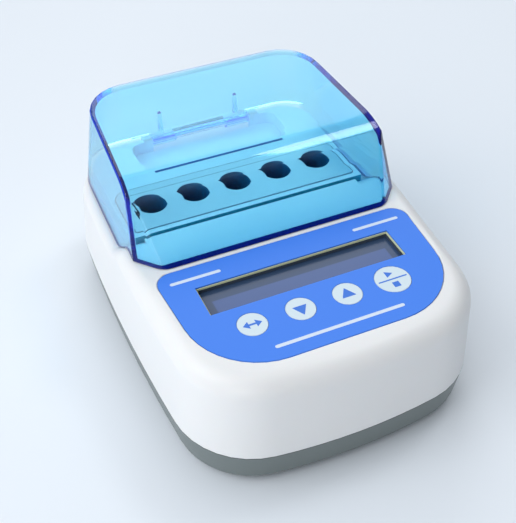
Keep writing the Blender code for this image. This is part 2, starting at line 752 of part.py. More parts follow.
def foot_places():
    """Give the four places of the rubber feet."""
    front_y = FRONT_Y + FRONT_FOOT_MARGIN
    rear_y = REAR_Y - REAR_FOOT_MARGIN
    return [
        (-FRONT_FOOT_X, front_y), (FRONT_FOOT_X, front_y),
        (-REAR_FOOT_X, rear_y), (REAR_FOOT_X, rear_y),
    ]


def clamp_screw_places():
    """Give the four places of the screws that hold the clamp under the block."""
    reach = BLOCK_SHOULDER + GAP + JACKET_WALL + JACKET_BOSS_GAP + CLAMP_BOSS_RADIUS
    return [
        (BLOCK_OFFSET_X + side * CLAMP_SCREW_X, y)
        for y in (BLOCK_FRONT_Y - reach, BLOCK_REAR_Y + reach)
        for side in (-1, 1)
    ]


def board_screw_places():
    """Give the four places of the control board's screws."""
    half = BOARD_WIDTH / 2 - BOARD_BOSS_INSET_X
    return [
        (side * half, y)
        for y in (BOARD_FRONT_Y + BOARD_BOSS_INSET_Y, BOARD_REAR_Y - BOARD_BOSS_INSET_Y)
        for side in (-1, 1)
    ]


def island_outline():
    """Give the raised island's outline, with the pad that joins it to the panel."""
    half = ISLAND_HALF_WIDTH
    pad = half - ISLAND_PAD_INSET
    pad_front_y = STEP_START_Y - GAP
    corners = [
        (-pad, pad_front_y), (pad, pad_front_y), (pad, ISLAND_FRONT_Y), (half, ISLAND_FRONT_Y),
        (half, ISLAND_REAR_Y), (-half, ISLAND_REAR_Y), (-half, ISLAND_FRONT_Y),
        (-pad, ISLAND_FRONT_Y),
    ]
    rear = ISLAND_REAR_FILLET
    corners = [(BLOCK_OFFSET_X + x, y) for x, y in corners]
    return rounded_polygon(corners, [0, 0, 0, 0, rear, rear, 0, 0])


def ear_profile():
    """Give the side profile of a hinge ear, rounded about the pin."""
    reach = HINGE_Y - ISLAND_REAR_Y
    start = -pi / 2 - asin(reach / KNUCKLE_RADIUS)
    root_y = TRAY_REAR_Y - GAP
    points = [(root_y, BAY_Z - HOUSING_WALL / 2), (ISLAND_REAR_Y, BAY_Z - HOUSING_WALL / 2)]
    for step in range(EAR_STEPS + 1):
        angle = start + (pi / 2 - start) * step / EAR_STEPS
        points.append((
            HINGE_Y + KNUCKLE_RADIUS * cos(angle), HINGE_Z + KNUCKLE_RADIUS * sin(angle),
        ))
    points.append((root_y, HINGE_Z + KNUCKLE_RADIUS))
    return points


def build_top_housing():
    """Mould the white upper housing: shell, island, bosses, ears and openings."""
    outline = right_outline()
    bm = bmesh.new()
    outside = housing_rings(outline, 0, HOUSING_Z, SHOULDER_STEPS)
    inside = housing_rings(outline, HOUSING_WALL, HOUSING_Z, INNER_SHOULDER_STEPS)
    add_case_shell(bm, list(reversed(outside)) + inside)
    housing = make_object("top_housing", bm, WHITE_PLASTIC)

    bm = bmesh.new()
    add_prism(bm, island_outline(), BAY_Z - HOUSING_WALL / 2, PANEL_Z)
    boolean(housing, "UNION", make_guide("housing_island", bm))

    bm = bmesh.new()
    boss_low_z = BASE_FLOOR_Z + BASE_BOSS_HEIGHT + GAP
    for x, y in case_screw_places():
        top_z = housing_top(y) - HOUSING_WALL / 2
        add_prism(bm, circle(x, y, CASE_BOSS_RADIUS, BOSS_SEGMENTS), boss_low_z, top_z)
    boolean(housing, "UNION", make_guide("housing_case_bosses", bm))

    bm = bmesh.new()
    for x, y in clamp_screw_places():
        top_z = housing_top(y) - HOUSING_WALL / 2
        add_prism(bm, circle(x, y, CLAMP_BOSS_RADIUS, BOSS_SEGMENTS), CLAMP_TOP_Z + GAP, top_z)
    for x, y in board_screw_places():
        top_z = PANEL_Z - HOUSING_WALL / 2
        add_prism(bm, circle(x, y, BOARD_BOSS_RADIUS, BOSS_SEGMENTS), BOARD_TOP_Z + GAP, top_z)
    pad_half = POCKET_WIDTH / 2 + POCKET_PAD_MARGIN
    add_back_prism(
        bm,
        rectangle(-pad_half, pad_half, POCKET_BOTTOM_Z - POCKET_PAD_MARGIN / 2,
                  POCKET_TOP_Z + POCKET_PAD_MARGIN),
        POCKET_Y - HOUSING_WALL, POCKET_Y + GAP,
    )
    boolean(housing, "UNION", make_guide("housing_bosses", bm))

    bm = bmesh.new()
    for side in (-1, 1):
        inner = side * (KNUCKLE_OUTER_X - GAP)
        outer = side * (KNUCKLE_OUTER_X + GAP + EAR_THICK)
        add_side_prism(bm, ear_profile(), min(inner, outer), max(inner, outer))
    boolean(housing, "UNION", make_guide("housing_ears", bm))

    bm = bmesh.new()
    recess_z = PANEL_Z + OVERLAY_PROUD - OVERLAY_THICK - GAP
    above_z = PANEL_Z + OVERSHOOT
    add_prism(bm, panel_outline(-GAP), recess_z, above_z)
    add_prism(bm, block_outline(-GAP), BAY_UNDER_Z - HOUSING_WALL, above_z)
    tray = rectangle(-TRAY_HALF_WIDTH, TRAY_HALF_WIDTH, TRAY_FRONT_Y, TRAY_REAR_Y)
    add_prism(bm, rounded_polygon(tray, [TRAY_FILLET] * 4), PANEL_Z - TRAY_DEPTH, above_z)
    slot_rear_y = TRAY_FRONT_Y - SLOT_WALL
    slot = rectangle(-SLOT_HALF_WIDTH, SLOT_HALF_WIDTH, slot_rear_y - SLOT_LENGTH, slot_rear_y)
    add_prism(bm, slot, PANEL_Z - SLOT_DEPTH, above_z)
    groove_half = ISLAND_HALF_WIDTH - ISLAND_PAD_INSET + GAP
    groove = rectangle(BLOCK_OFFSET_X - groove_half, BLOCK_OFFSET_X + groove_half,
                       ISLAND_FRONT_Y - GROOVE_WIDTH, ISLAND_FRONT_Y)
    add_prism(bm, groove, PANEL_Z - GROOVE_DEPTH, above_z)
    for x, y in case_screw_places():
        pilot = circle(x, y, CASE_SCREW_RADIUS + GAP, HOLE_SEGMENTS)
        add_prism(bm, pilot, HOUSING_Z - BASE_HEIGHT, case_screw_top() + GAP)
    for x, y in clamp_screw_places():
        pilot = circle(x, y, CLAMP_SCREW_RADIUS + GAP, HOLE_SEGMENTS)
        add_prism(bm, pilot, CLAMP_BOTTOM_Z, CLAMP_TOP_Z + CLAMP_SCREW_BITE + GAP)
    for x, y in board_screw_places():
        pilot = circle(x, y, BOARD_SCREW_RADIUS + GAP, HOLE_SEGMENTS)
        add_prism(bm, pilot, BOARD_TOP_Z - BOARD_THICK, BOARD_TOP_Z + BOARD_SCREW_BITE + GAP)
    pocket = rectangle(-POCKET_WIDTH / 2, POCKET_WIDTH / 2, POCKET_BOTTOM_Z, POCKET_TOP_Z)
    add_back_prism(bm, pocket, POCKET_Y, REAR_Y + OVERSHOOT)
    boolean(housing, "DIFFERENCE", make_guide("housing_recesses", bm))

    bm = bmesh.new()
    window = rectangle(-WINDOW_WIDTH / 2, WINDOW_WIDTH / 2, WINDOW_FRONT_Y, WINDOW_REAR_Y)
    through_z = PANEL_UNDER_Z - OVERSHOOT
    add_prism(bm, window, through_z, above_z)
    for name, x, radius in key_places():
        add_prism(bm, circle(x, KEY_Y, radius + GAP, KEY_SEGMENTS), through_z, above_z)
    notch_x = KNUCKLE_OUTER_X + GAP
    notch_front_y = HINGE_Y - KNUCKLE_RADIUS - 2 * GAP
    notch = rectangle(-notch_x, notch_x, notch_front_y, LID_REAR_Y)
    add_prism(bm, notch, BAY_Z - GAP, above_z)
    rocker_half_x = ROCKER_BODY_WIDTH / 2 + GAP
    rocker_half_z = ROCKER_BODY_HEIGHT / 2 + GAP
    rocker_hole = rectangle(ROCKER_X - rocker_half_x, ROCKER_X + rocker_half_x,
                            POCKET_MID_Z - rocker_half_z, POCKET_MID_Z + rocker_half_z)
    add_back_prism(bm, rocker_hole, POCKET_Y - 2 * HOUSING_WALL, REAR_Y)
    inlet_hole = circle(INLET_X, POCKET_MID_Z, INLET_BODY_RADIUS + GAP)
    add_back_prism(bm, inlet_hole, POCKET_Y - 2 * HOUSING_WALL, REAR_Y)
    boolean(housing, "DIFFERENCE", make_guide("housing_openings", bm))

    bm = bmesh.new()
    bore_half = KNUCKLE_OUTER_X + EAR_THICK + 2 * GAP
    bore = drum(PIN_RADIUS + GAP, -bore_half, bore_half)
    add_turned(bm, bore, (0, HINGE_Y, HINGE_Z), "X", HOLE_SEGMENTS)
    boolean(housing, "DIFFERENCE", make_guide("housing_pin_bore", bm))


def build_base_tray():
    """Mould the grey base tray with its lip, its screw bosses and foot recesses."""
    outline = right_outline()

    def ring(inset, level):
        return case_ring(outline, lambda y: inset, lambda y: level)

    lip_outer = HOUSING_WALL + GAP
    lip_inner = lip_outer + LIP_WALL
    rings = []
    for step in range(BASE_ROLL_STEPS + 1):
        angle = pi / 2 * step / BASE_ROLL_STEPS
        inset = BASE_TUCK + BASE_ROLL_WIDTH * (1 - sin(angle))
        rings.append(ring(inset, BASE_Z + BASE_ROLL_HEIGHT * (1 - cos(angle))))
    rings.append(ring(0, BASE_RIM_Z))
    rings.append(ring(lip_outer, BASE_RIM_Z))
    rings.append(ring(lip_outer, BASE_RIM_Z + LIP_HEIGHT))
    rings.append(ring(lip_inner, BASE_RIM_Z + LIP_HEIGHT))
    rings.append(ring(lip_inner, BASE_RIM_Z - BASE_WALL))
    rings.append(ring(BASE_WALL + BASE_TUCK, BASE_RIM_Z - 2 * BASE_WALL))
    rings.append(ring(BASE_WALL + 2 * BASE_TUCK, BASE_FLOOR_Z))
    bm = bmesh.new()
    add_case_shell(bm, rings)
    tray = make_object("base_tray", bm, GREY_PLASTIC)

    bm = bmesh.new()
    for x, y in case_screw_places():
        boss = circle(x, y, BASE_BOSS_RADIUS, BOSS_SEGMENTS)
        add_prism(bm, boss, BASE_FLOOR_Z - BASE_FLOOR / 2, BASE_FLOOR_Z + BASE_BOSS_HEIGHT)
    boolean(tray, "UNION", make_guide("tray_bosses", bm))

    bm = bmesh.new()
    sink_top_z = BASE_Z + CASE_SCREW_SINK + CASE_SCREW_HEAD_HEIGHT + GAP
    for x, y in case_screw_places():
        profile = [
            (0, BASE_Z - OVERSHOOT), (CASE_SCREW_HEAD + GAP, BASE_Z - OVERSHOOT),
            (CASE_SCREW_HEAD + GAP, sink_top_z), (CASE_SCREW_RADIUS + GAP, sink_top_z),
            (CASE_SCREW_RADIUS + GAP, SEAM_Z + OVERSHOOT), (0, SEAM_Z + OVERSHOOT),
        ]
        add_turned(bm, profile, (x, y, 0), "Z", HOLE_SEGMENTS)
    for x, y in foot_places():
        add_prism(bm, circle(x, y, FOOT_RADIUS + GAP), BASE_Z - OVERSHOOT, BASE_Z + FOOT_RECESS)
    boolean(tray, "DIFFERENCE", make_guide("tray_holes", bm))


def case_screw_top():
    """Give the height of a case screw's tip."""
    return BASE_FLOOR_Z + BASE_BOSS_HEIGHT + CASE_SCREW_BITE


def build_case_screws():
    """Turn the four case screws, driven up from below."""
    head_z = BASE_Z + CASE_SCREW_SINK
    length = case_screw_top() - head_z
    names = ["front_left", "front_right", "rear_left", "rear_right"]
    for name, (x, y) in zip(names, case_screw_places()):
        bm = bmesh.new()
        profile = screw_profile(CASE_SCREW_HEAD, CASE_SCREW_HEAD_HEIGHT, CASE_SCREW_RADIUS, length)
        add_turned(bm, profile, (x, y, head_z), "Z", SCREW_SEGMENTS)
        make_object("case_screw_" + name, bm, STEEL)


def build_feet():
    """Turn the four rubber feet, set in the base's recesses."""
    top = BASE_Z + FOOT_RECESS - GAP
    profile = [
        (0, 0), (FOOT_RADIUS - FOOT_EDGE, 0), (FOOT_RADIUS, FOOT_EDGE), (FOOT_RADIUS, top), (0, top),
    ]
    names = ["front_left", "front_right", "rear_left", "rear_right"]
    for name, (x, y) in zip(names, foot_places()):
        bm = bmesh.new()
        add_turned(bm, profile, (x, y, 0))
        make_object("foot_" + name, bm, RUBBER_BLACK)


def build_panel_overlay():
    """Cut the blue keypad film with its window and its key openings."""
    top_z = PANEL_Z + OVERLAY_PROUD
    bm = bmesh.new()
    add_prism(bm, panel_outline(0), top_z - OVERLAY_THICK, top_z)
    overlay = make_object("panel_overlay", bm, BLUE_FILM)
    bm = bmesh.new()
    window = rectangle(-WINDOW_WIDTH / 2, WINDOW_WIDTH / 2, WINDOW_FRONT_Y, WINDOW_REAR_Y)
    low_z = top_z - 3 * OVERLAY_THICK
    high_z = top_z + 3 * OVERLAY_THICK
    add_prism(bm, window, low_z, high_z)
    for name, x, radius in key_places():
        add_prism(bm, circle(x, KEY_Y, radius + GAP, KEY_SEGMENTS), low_z, high_z)
    boolean(overlay, "DIFFERENCE", make_guide("overlay_openings", bm))


def build_keys():
    """Turn the four keys: round cap, flange that stays under the panel, and stem."""
    top_z = PANEL_Z + OVERLAY_PROUD
    flange_top_z = PANEL_UNDER_Z - GAP
    flange_low_z = flange_top_z - KEY_FLANGE_THICK
    stem_low_z = plunger_top() + SWITCH_REST_GAP
    for name, x, radius in key_places():
        bm = bmesh.new()
        profile = [
            (0, stem_low_z), (KEY_STEM_RADIUS, stem_low_z), (KEY_STEM_RADIUS, flange_low_z),
            (radius + KEY_FLANGE, flange_low_z), (radius + KEY_FLANGE, flange_top_z),
            (radius, flange_top_z), (radius, top_z - KEY_EDGE), (radius - KEY_EDGE, top_z),
            (0, top_z),
        ]
        add_turned(bm, profile, (x, KEY_Y, 0), "Z", KEY_SEGMENTS)
        key = make_object(name, bm, KEY_WHITE)
        rest_origin(key, (x, KEY_Y, top_z))


def plunger_top():
    """Give the height of a tact switch's plunger: the stem's end lies just above it."""
    flange_low_z = PANEL_UNDER_Z - GAP - KEY_FLANGE_THICK
    return flange_low_z - SWITCH_REST_GAP - GAP


def build_tact_switches():
    """Make the four tact switches that stand on the board under the keys."""
    low_z = BOARD_TOP_Z + GAP
    body_top_z = low_z + SWITCH_HEIGHT
    names = ["cursor", "down", "up", "start_stop"]
    for name, (key_name, x, radius) in zip(names, key_places()):
        half = SWITCH_SIZE / 2
        bm = bmesh.new()
        add_prism(bm, rectangle(x - half, x + half, KEY_Y - half, KEY_Y + half), low_z, body_top_z)
        switch = make_object("tact_switch_" + name, bm, BLACK_PLASTIC)
        bm = bmesh.new()
        plunger = circle(x, KEY_Y, SWITCH_PLUNGER_RADIUS, HOLE_SEGMENTS)
        add_prism(bm, plunger, body_top_z - SWITCH_HEIGHT / 2, plunger_top())
        boolean(switch, "UNION", make_guide("plunger_" + name, bm))


def build_display():
    """Make the display: a dark frame behind the window and the glass cell in it."""
    half = WINDOW_WIDTH / 2 + DISPLAY_RIM_X
    rear_y = WINDOW_REAR_Y + DISPLAY_RIM_REAR
    front_y = WINDOW_FRONT_Y - DISPLAY_RIM_FRONT
    top_z = PANEL_UNDER_Z - GAP
    bm = bmesh.new()
    frame = rectangle(-half, half, front_y, rear_y)
    frame = rounded_polygon(frame, [DISPLAY_FRAME_FILLET] * 4, SMALL_FILLET_STEPS)
    add_prism(bm, frame, BOARD_TOP_Z + GAP, top_z)
    bezel = make_object("display_bezel", bm, BLACK_PLASTIC)

    view_half = DISPLAY_VIEW_WIDTH / 2
    view_rear_y = WINDOW_REAR_Y - DISPLAY_VIEW_DROP
    view_front_y = front_y + DISPLAY_VIEW_MARGIN
    glass_low_z = top_z - GAP - DISPLAY_GLASS_THICK
    bm = bmesh.new()
    pocket = rectangle(-view_half, view_half, view_front_y, view_rear_y)
    add_prism(bm, pocket, glass_low_z - GAP, top_z + OVERSHOOT)
    boolean(bezel, "DIFFERENCE", make_guide("display_pocket", bm))

    bm = bmesh.new()
    glass = rectangle(-view_half + GAP, view_half - GAP, view_front_y + GAP, view_rear_y - GAP)
    add_prism(bm, glass, glass_low_z, top_z - GAP)
    make_object("display_glass", bm, DISPLAY_DARK)


def build_control_board():
    """Cut the control board, hang it on its screws and fit the buzzer below it."""
    half = BOARD_WIDTH / 2
    low_z = BOARD_TOP_Z - BOARD_THICK
    bm = bmesh.new()
    plate = rectangle(-half, half, BOARD_FRONT_Y, BOARD_REAR_Y)
    plate = rounded_polygon(plate, [BOARD_FILLET] * 4, SMALL_FILLET_STEPS)
    add_prism(bm, plate, low_z, BOARD_TOP_Z)
    board = make_object("control_board", bm, BOARD_GREEN)
    bm = bmesh.new()
    for x, y in board_screw_places():
        hole = circle(x, y, BOARD_SCREW_RADIUS + GAP, HOLE_SEGMENTS)
        add_prism(bm, hole, low_z - OVERSHOOT, BOARD_TOP_Z + OVERSHOOT)
    boolean(board, "DIFFERENCE", make_guide("board_holes", bm))

    names = ["front_left", "front_right", "rear_left", "rear_right"]
    head_z = low_z - GAP - BOARD_SCREW_HEAD_HEIGHT
    length = BOARD_TOP_Z + BOARD_SCREW_BITE - head_z
    for name, (x, y) in zip(names, board_screw_places()):
        bm = bmesh.new()
        profile = screw_profile(
            BOARD_SCREW_HEAD, BOARD_SCREW_HEAD_HEIGHT, BOARD_SCREW_RADIUS, length)
        add_turned(bm, profile, (x, y, head_z), "Z", SCREW_SEGMENTS)
        make_object("board_screw_" + name, bm, STEEL)

    top_z = low_z - GAP
    bottom_z = top_z - BUZZER_HEIGHT
    port_z = bottom_z + BUZZER_HEIGHT / 3
    profile = [
        (0, port_z), (BUZZER_PORT, port_z), (BUZZER_PORT, bottom_z), (BUZZER_RADIUS, bottom_z),
        (BUZZER_RADIUS, top_z), (0, top_z),
    ]
    bm = bmesh.new()
    add_turned(bm, profile, (BUZZER_X, BOARD_REAR_Y - BUZZER_SETBACK, 0))
    make_object("buzzer", bm, BLACK_PLASTIC)


def well_outline(centre_x, centre_y):
    """Give a well's outline: a circle with a flat on its left and its right side."""
    flat_angle = acos(WELL_FLAT / WELL_RADIUS)
    span = pi - 2 * flat_angle
    points = []
    for start in (flat_angle, pi + flat_angle):
        for step in range(WELL_STEPS + 1):
            angle = start + span * step / WELL_STEPS
            points.append((
                centre_x + WELL_RADIUS * cos(angle), centre_y + WELL_RADIUS * sin(angle),
            ))
    return points


def build_heating_block():
    """Machine the block: a wide body under the bay, a neck up through it, five wells."""
    bm = bmesh.new()
    add_prism(bm, block_outline(-BLOCK_SHOULDER), BLOCK_BOTTOM_Z, BLOCK_SHOULDER_Z)
    bm.faces.ensure_lookup_table()
    bmesh.ops.recalc_face_normals(bm, faces=bm.faces)
    top = max(bm.faces, key=lambda face: face.calc_center_median().z)
    bmesh.ops.inset_region(bm, faces=[top], thickness=BLOCK_SHOULDER)
    grown = bmesh.ops.extrude_face_region(bm, geom=[top])
    bmesh.ops.delete(bm, geom=[top], context="FACES_ONLY")
    risen = [item for item in grown["geom"] if isinstance(item, bmesh.types.BMVert)]
    bmesh.ops.translate(bm, verts=risen, vec=(0, 0, BLOCK_TOP_Z - BLOCK_SHOULDER_Z))
    block = make_object("heating_block", bm, BARE_METAL)

    bm = bmesh.new()
    well_y = BLOCK_FRONT_Y + BLOCK_LENGTH * WELL_SETBACK_SHARE
    for index in range(WELL_COUNT):
        x = BLOCK_OFFSET_X + (index - (WELL_COUNT - 1) / 2) * WELL_PITCH
        add_prism(bm, well_outline(x, well_y), BLOCK_TOP_Z - WELL_DEPTH, BLOCK_TOP_Z + OVERSHOOT)
    sensor_bore = drum(SENSOR_RADIUS + GAP, -OVERSHOOT, SENSOR_DEPTH + BLOCK_SHOULDER + GAP)
    add_turned(bm, sensor_bore, sensor_place(), "Y", HOLE_SEGMENTS)
    boolean(block, "DIFFERENCE", make_guide("block_holes", bm))


def sensor_place():
    """Give the mouth of the sensor's bore, on the block's front between two wells."""
    x = BLOCK_OFFSET_X + WELL_PITCH / 2
    return (x, BLOCK_FRONT_Y - BLOCK_SHOULDER, BLOCK_SHOULDER_Z - SENSOR_DROP)


def build_heater_stack():
    """Make the heater mat, the insulation jacket, the clamp and the two sensors."""
    bm = bmesh.new()
    add_prism(bm, block_outline(HEATER_MARGIN - BLOCK_SHOULDER), HEATER_BOTTOM_Z,
              BLOCK_BOTTOM_Z - GAP)
    make_object("heater_mat", bm, HEATER_ORANGE)

    inner = BLOCK_SHOULDER + GAP
    bm = bmesh.new()
    add_prism(bm, block_outline(-inner - JACKET_WALL), CLAMP_TOP_Z + GAP, BLOCK_SHOULDER_Z)
    jacket = make_object("insulation_jacket", bm, FOAM_GREY)
    bm = bmesh.new()
    add_prism(bm, block_outline(-inner), CLAMP_TOP_Z - OVERSHOOT, BLOCK_SHOULDER_Z + OVERSHOOT)
    boolean(jacket, "DIFFERENCE", make_guide("jacket_core", bm))
    bm = bmesh.new()
    mouth = sensor_place()
    sensor_hole = drum(SENSOR_RADIUS + GAP, -inner - JACKET_WALL - OVERSHOOT, inner)
    add_turned(bm, sensor_hole, mouth, "Y", HOLE_SEGMENTS)
    cutout_z = BLOCK_SHOULDER_Z - CUTOUT_DROP
    half_x = CUTOUT_WIDTH / 2 + GAP
    half_z = CUTOUT_HEIGHT / 2 + GAP
    rear_y = BLOCK_REAR_Y + BLOCK_SHOULDER
    window = rectangle(BLOCK_OFFSET_X - half_x, BLOCK_OFFSET_X + half_x, cutout_z - half_z,
                       cutout_z + half_z)
    add_back_prism(bm, window, rear_y - GAP, rear_y + inner + JACKET_WALL + OVERSHOOT)
    boolean(jacket, "DIFFERENCE", make_guide("jacket_windows", bm))

    bm = bmesh.new()
    probe = [
        (0, -JACKET_WALL - SENSOR_TAIL), (SENSOR_RADIUS, -JACKET_WALL - SENSOR_TAIL),
        (SENSOR_RADIUS, SENSOR_DEPTH - SENSOR_RADIUS / 2),
        (SENSOR_RADIUS / 2, SENSOR_DEPTH), (0, SENSOR_DEPTH),
    ]
    add_turned(bm, probe, mouth, "Y", HOLE_SEGMENTS)
    make_object("temperature_sensor", bm, STEEL)

    bm = bmesh.new()
    body = rectangle(BLOCK_OFFSET_X - CUTOUT_WIDTH / 2, BLOCK_OFFSET_X + CUTOUT_WIDTH / 2,
                     cutout_z - CUTOUT_HEIGHT / 2, cutout_z + CUTOUT_HEIGHT / 2)
    body = rounded_polygon(body, [CUTOUT_FILLET] * 4, SMALL_FILLET_STEPS)
    add_back_prism(bm, body, rear_y + GAP, rear_y + inner + JACKET_WALL + CUTOUT_TAIL)
    make_object("thermal_cutout", bm, BLACK_PLASTIC)


def build_block_clamp():
    """Cut the clamp plate and turn the four screws that pull it up."""
    places = clamp_screw_places()
    half = CLAMP_SCREW_X + CLAMP_EDGE
    low_y = places[0][1] - CLAMP_EDGE
    high_y = places[-1][1] + CLAMP_EDGE
    bm = bmesh.new()
    plate = rectangle(BLOCK_OFFSET_X - half, BLOCK_OFFSET_X + half, low_y, high_y)
    plate = rounded_polygon(plate, [CLAMP_FILLET] * 4, SMALL_FILLET_STEPS)
    add_prism(bm, plate, CLAMP_BOTTOM_Z, CLAMP_TOP_Z)
    clamp = make_object("block_clamp", bm, STEEL)
    bm = bmesh.new()
    for x, y in places:
        hole = circle(x, y, CLAMP_SCREW_RADIUS + GAP, HOLE_SEGMENTS)
        add_prism(bm, hole, CLAMP_BOTTOM_Z - OVERSHOOT, CLAMP_TOP_Z + OVERSHOOT)
    boolean(clamp, "DIFFERENCE", make_guide("clamp_holes", bm))

    names = ["front_left", "front_right", "rear_left", "rear_right"]
    head_z = CLAMP_BOTTOM_Z - GAP - CLAMP_SCREW_HEAD_HEIGHT
    length = CLAMP_TOP_Z + CLAMP_SCREW_BITE - head_z
    for name, (x, y) in zip(names, places):
        bm = bmesh.new()
        profile = screw_profile(
            CLAMP_SCREW_HEAD, CLAMP_SCREW_HEAD_HEIGHT, CLAMP_SCREW_RADIUS, length)
        add_turned(bm, profile, (x, y, head_z), "Z", SCREW_SEGMENTS)
        make_object("clamp_screw_" + name, bm, STEEL)


def lid_half_width(y):
    """Give the lid's half width at a place along the case: it narrows to the back."""
    share = (y - LID_FRONT_Y) / BAY_LENGTH
    return BODY_WIDTH / 2 - LID_FRONT_MARGIN_X - (LID_REAR_MARGIN_X - LID_FRONT_MARGIN_X) * share


def lid_plan(inset, rise):
    """Give the lid's filleted plan outline at a rise above the bay.

    The sides and the back lean inward, and the cheeks that cut the front corners lean
    back, so that each cheek runs out where the top begins.
    """
    rear_y = LID_REAR_Y - LID_REAR_SLOPE * rise
    cheek_y = LID_FRONT_Y + LID_CHEEK_Y + LID_CHEEK_SLOPE * rise
    cheek_half = lid_half_width(cheek_y) - LID_SIDE_SLOPE * rise
    rear_half = lid_half_width(rear_y) - LID_SIDE_SLOPE * rise
    nose_half = cheek_half - (cheek_y - LID_FRONT_Y) * LID_CHEEK_X / LID_CHEEK_Y
    corners = [
        (-nose_half, LID_FRONT_Y), (nose_half, LID_FRONT_Y), (cheek_half, cheek_y),
        (rear_half, rear_y), (-rear_half, rear_y), (-cheek_half, cheek_y),
    ]
    nose = LID_NOSE_FILLET - inset
    crease = LID_CREASE_FILLET
    rear = LID_REAR_FILLET - inset
    return rounded_polygon(inset_corners(corners, inset), [nose, nose, crease, rear, rear, crease])


def lid_face_corners():
    """Give the corners of the lid's side view: sloping face, top and back."""
    slope = LID_FACE_LEAN / LID_FACE_HEIGHT
    below = LID_EDGE_Z - SEAM_Z
    beyond_y = LID_REAR_Y + OVERSHOOT
    bend_y = LID_FRONT_Y + LID_FACE_LEAN
    bend_z = LID_EDGE_Z + LID_FACE_HEIGHT
    rise = LID_TOP_RISE / (LID_REAR_Y - bend_y)
    beyond_z = bend_z + rise * (beyond_y - bend_y)
    return [
        (LID_FRONT_Y - slope * below, SEAM_Z), (beyond_y, SEAM_Z), (beyond_y, beyond_z),
        (bend_y, bend_z),
    ]


def lid_side_view():
    """Give the lid's outer side view, with its skirt cut to the housing's top."""
    beyond, top, bend = lid_face_corners()[1:]
    lift_y = LID_REAR_Y - LID_REAR_LIFT_SETBACK
    skirt = [(LID_FRONT_Y, LID_EDGE_Z)]
    for step in range(BAY_STEP_STEPS + 1):
        y = STEP_START_Y + BAY_STEP_LENGTH * step / BAY_STEP_STEPS
        skirt.append((y, housing_top(y) + GAP))
    lifted = [(lift_y, LID_SKIRT_Z), (lift_y, LID_REAR_EDGE_Z), (beyond[0], LID_REAR_EDGE_Z)]
    corners = skirt + lifted + [top, bend]
    radii = [0] * len(skirt) + [LID_REAR_LIFT_FILLET, 0, 0, 0, LID_BEND_RADIUS]
    return rounded_polygon(corners, radii, LARGE_FILLET_STEPS)


def lid_cavity_view():
    """Give the side view of the space under the lid."""
    corners = inset_corners(lid_face_corners(), LID_WALL)
    return rounded_polygon(corners, [0, 0, 0, LID_BEND_RADIUS - LID_WALL], LARGE_FILLET_STEPS)


def knuckle_profile():
    """Give the side view of the hinge foot: round under the pin, flat to the back."""
    root_y = LID_REAR_Y - LID_WALL / 2 - GAP
    points = []
    for step in range(KNUCKLE_STEPS + 1):
        angle = pi / 2 + KNUCKLE_TURN * step / KNUCKLE_STEPS
        points.append((
            HINGE_Y + KNUCKLE_RADIUS * cos(angle), HINGE_Z + KNUCKLE_RADIUS * sin(angle),
        ))
    under_z = max(HINGE_Z - KNUCKLE_RADIUS * sin(pi / 4), LID_REAR_EDGE_Z + GAP)
    points.append((root_y, under_z))
    points.append((root_y, HINGE_Z + KNUCKLE_RADIUS))
    return points


def build_lid():
    """Mould the lid: drafted shell with a sloping face, hinge foot and two ribs."""
    half = BODY_WIDTH
    bm = bmesh.new()
    height = LID_LOFT_TOP_Z - BAY_Z
    add_loft(bm, lid_plan(0, 0), BAY_Z, lid_plan(0, height), LID_LOFT_TOP_Z)
    lid = make_object("lid", bm, CLEAR_BLUE)
    bm = bmesh.new()
    add_side_prism(bm, lid_side_view(), -half, half)
    boolean(lid, "INTERSECT", make_guide("lid_side_view", bm))

    bm = bmesh.new()
    add_loft(bm, lid_plan(LID_WALL, -LID_WALL), BAY_Z - LID_WALL,
             lid_plan(LID_WALL, height), LID_LOFT_TOP_Z)
    cavity = make_guide("lid_cavity", bm)
    bm = bmesh.new()
    add_side_prism(bm, lid_cavity_view(), -half, half)
    boolean(cavity, "INTERSECT", make_guide("lid_cavity_view", bm))
    boolean(lid, "DIFFERENCE", cavity)

    bm = bmesh.new()
    add_side_prism(bm, knuckle_profile(), -KNUCKLE_OUTER_X, KNUCKLE_OUTER_X)
    boolean(lid, "UNION", make_guide("lid_hinge_foot", bm))

    bm = bmesh.new()
    rib_low_z = HINGE_Z + KNUCKLE_RADIUS / 2
    rib_high_z = HINGE_Z + KNUCKLE_RADIUS + RIB_HEIGHT
    root_y = LID_REAR_Y - LID_WALL
    rib = [
        (root_y - RIB_BASE_DEPTH, rib_low_z), (root_y + LID_WALL / 3, rib_low_z),
        (root_y, rib_high_z), (root_y - RIB_TOP_DEPTH, rib_high_z),
    ]
    for side in (-1, 1):
        add_side_prism(bm, rib, side * RIB_X - RIB_THICK / 2, side * RIB_X + RIB_THICK / 2)
    boolean(lid, "UNION", make_guide("lid_ribs", bm))

    bm = bmesh.new()
    relief_z = HINGE_Z + KNUCKLE_RADIUS - FOOT_STRIP_THICK
    relief = rectangle(-KNUCKLE_INNER_X, KNUCKLE_INNER_X, HINGE_Y - 2 * KNUCKLE_RADIUS,
                       LID_REAR_Y - LID_WALL - 2 * GAP)
    add_prism(bm, relief, HINGE_Z - 2 * KNUCKLE_RADIUS, relief_z)
    boolean(lid, "DIFFERENCE", make_guide("lid_foot_relief", bm))

    bm = bmesh.new()
    bore_half = KNUCKLE_OUTER_X + OVERSHOOT
    bore = drum(PIN_RADIUS + GAP, -bore_half, bore_half)
    add_turned(bm, bore, (0, HINGE_Y, HINGE_Z), "X", HOLE_SEGMENTS)
    boolean(lid, "DIFFERENCE", make_guide("lid_pin_bore", bm))
    rest_origin(lid, (0, HINGE_Y, HINGE_Z))


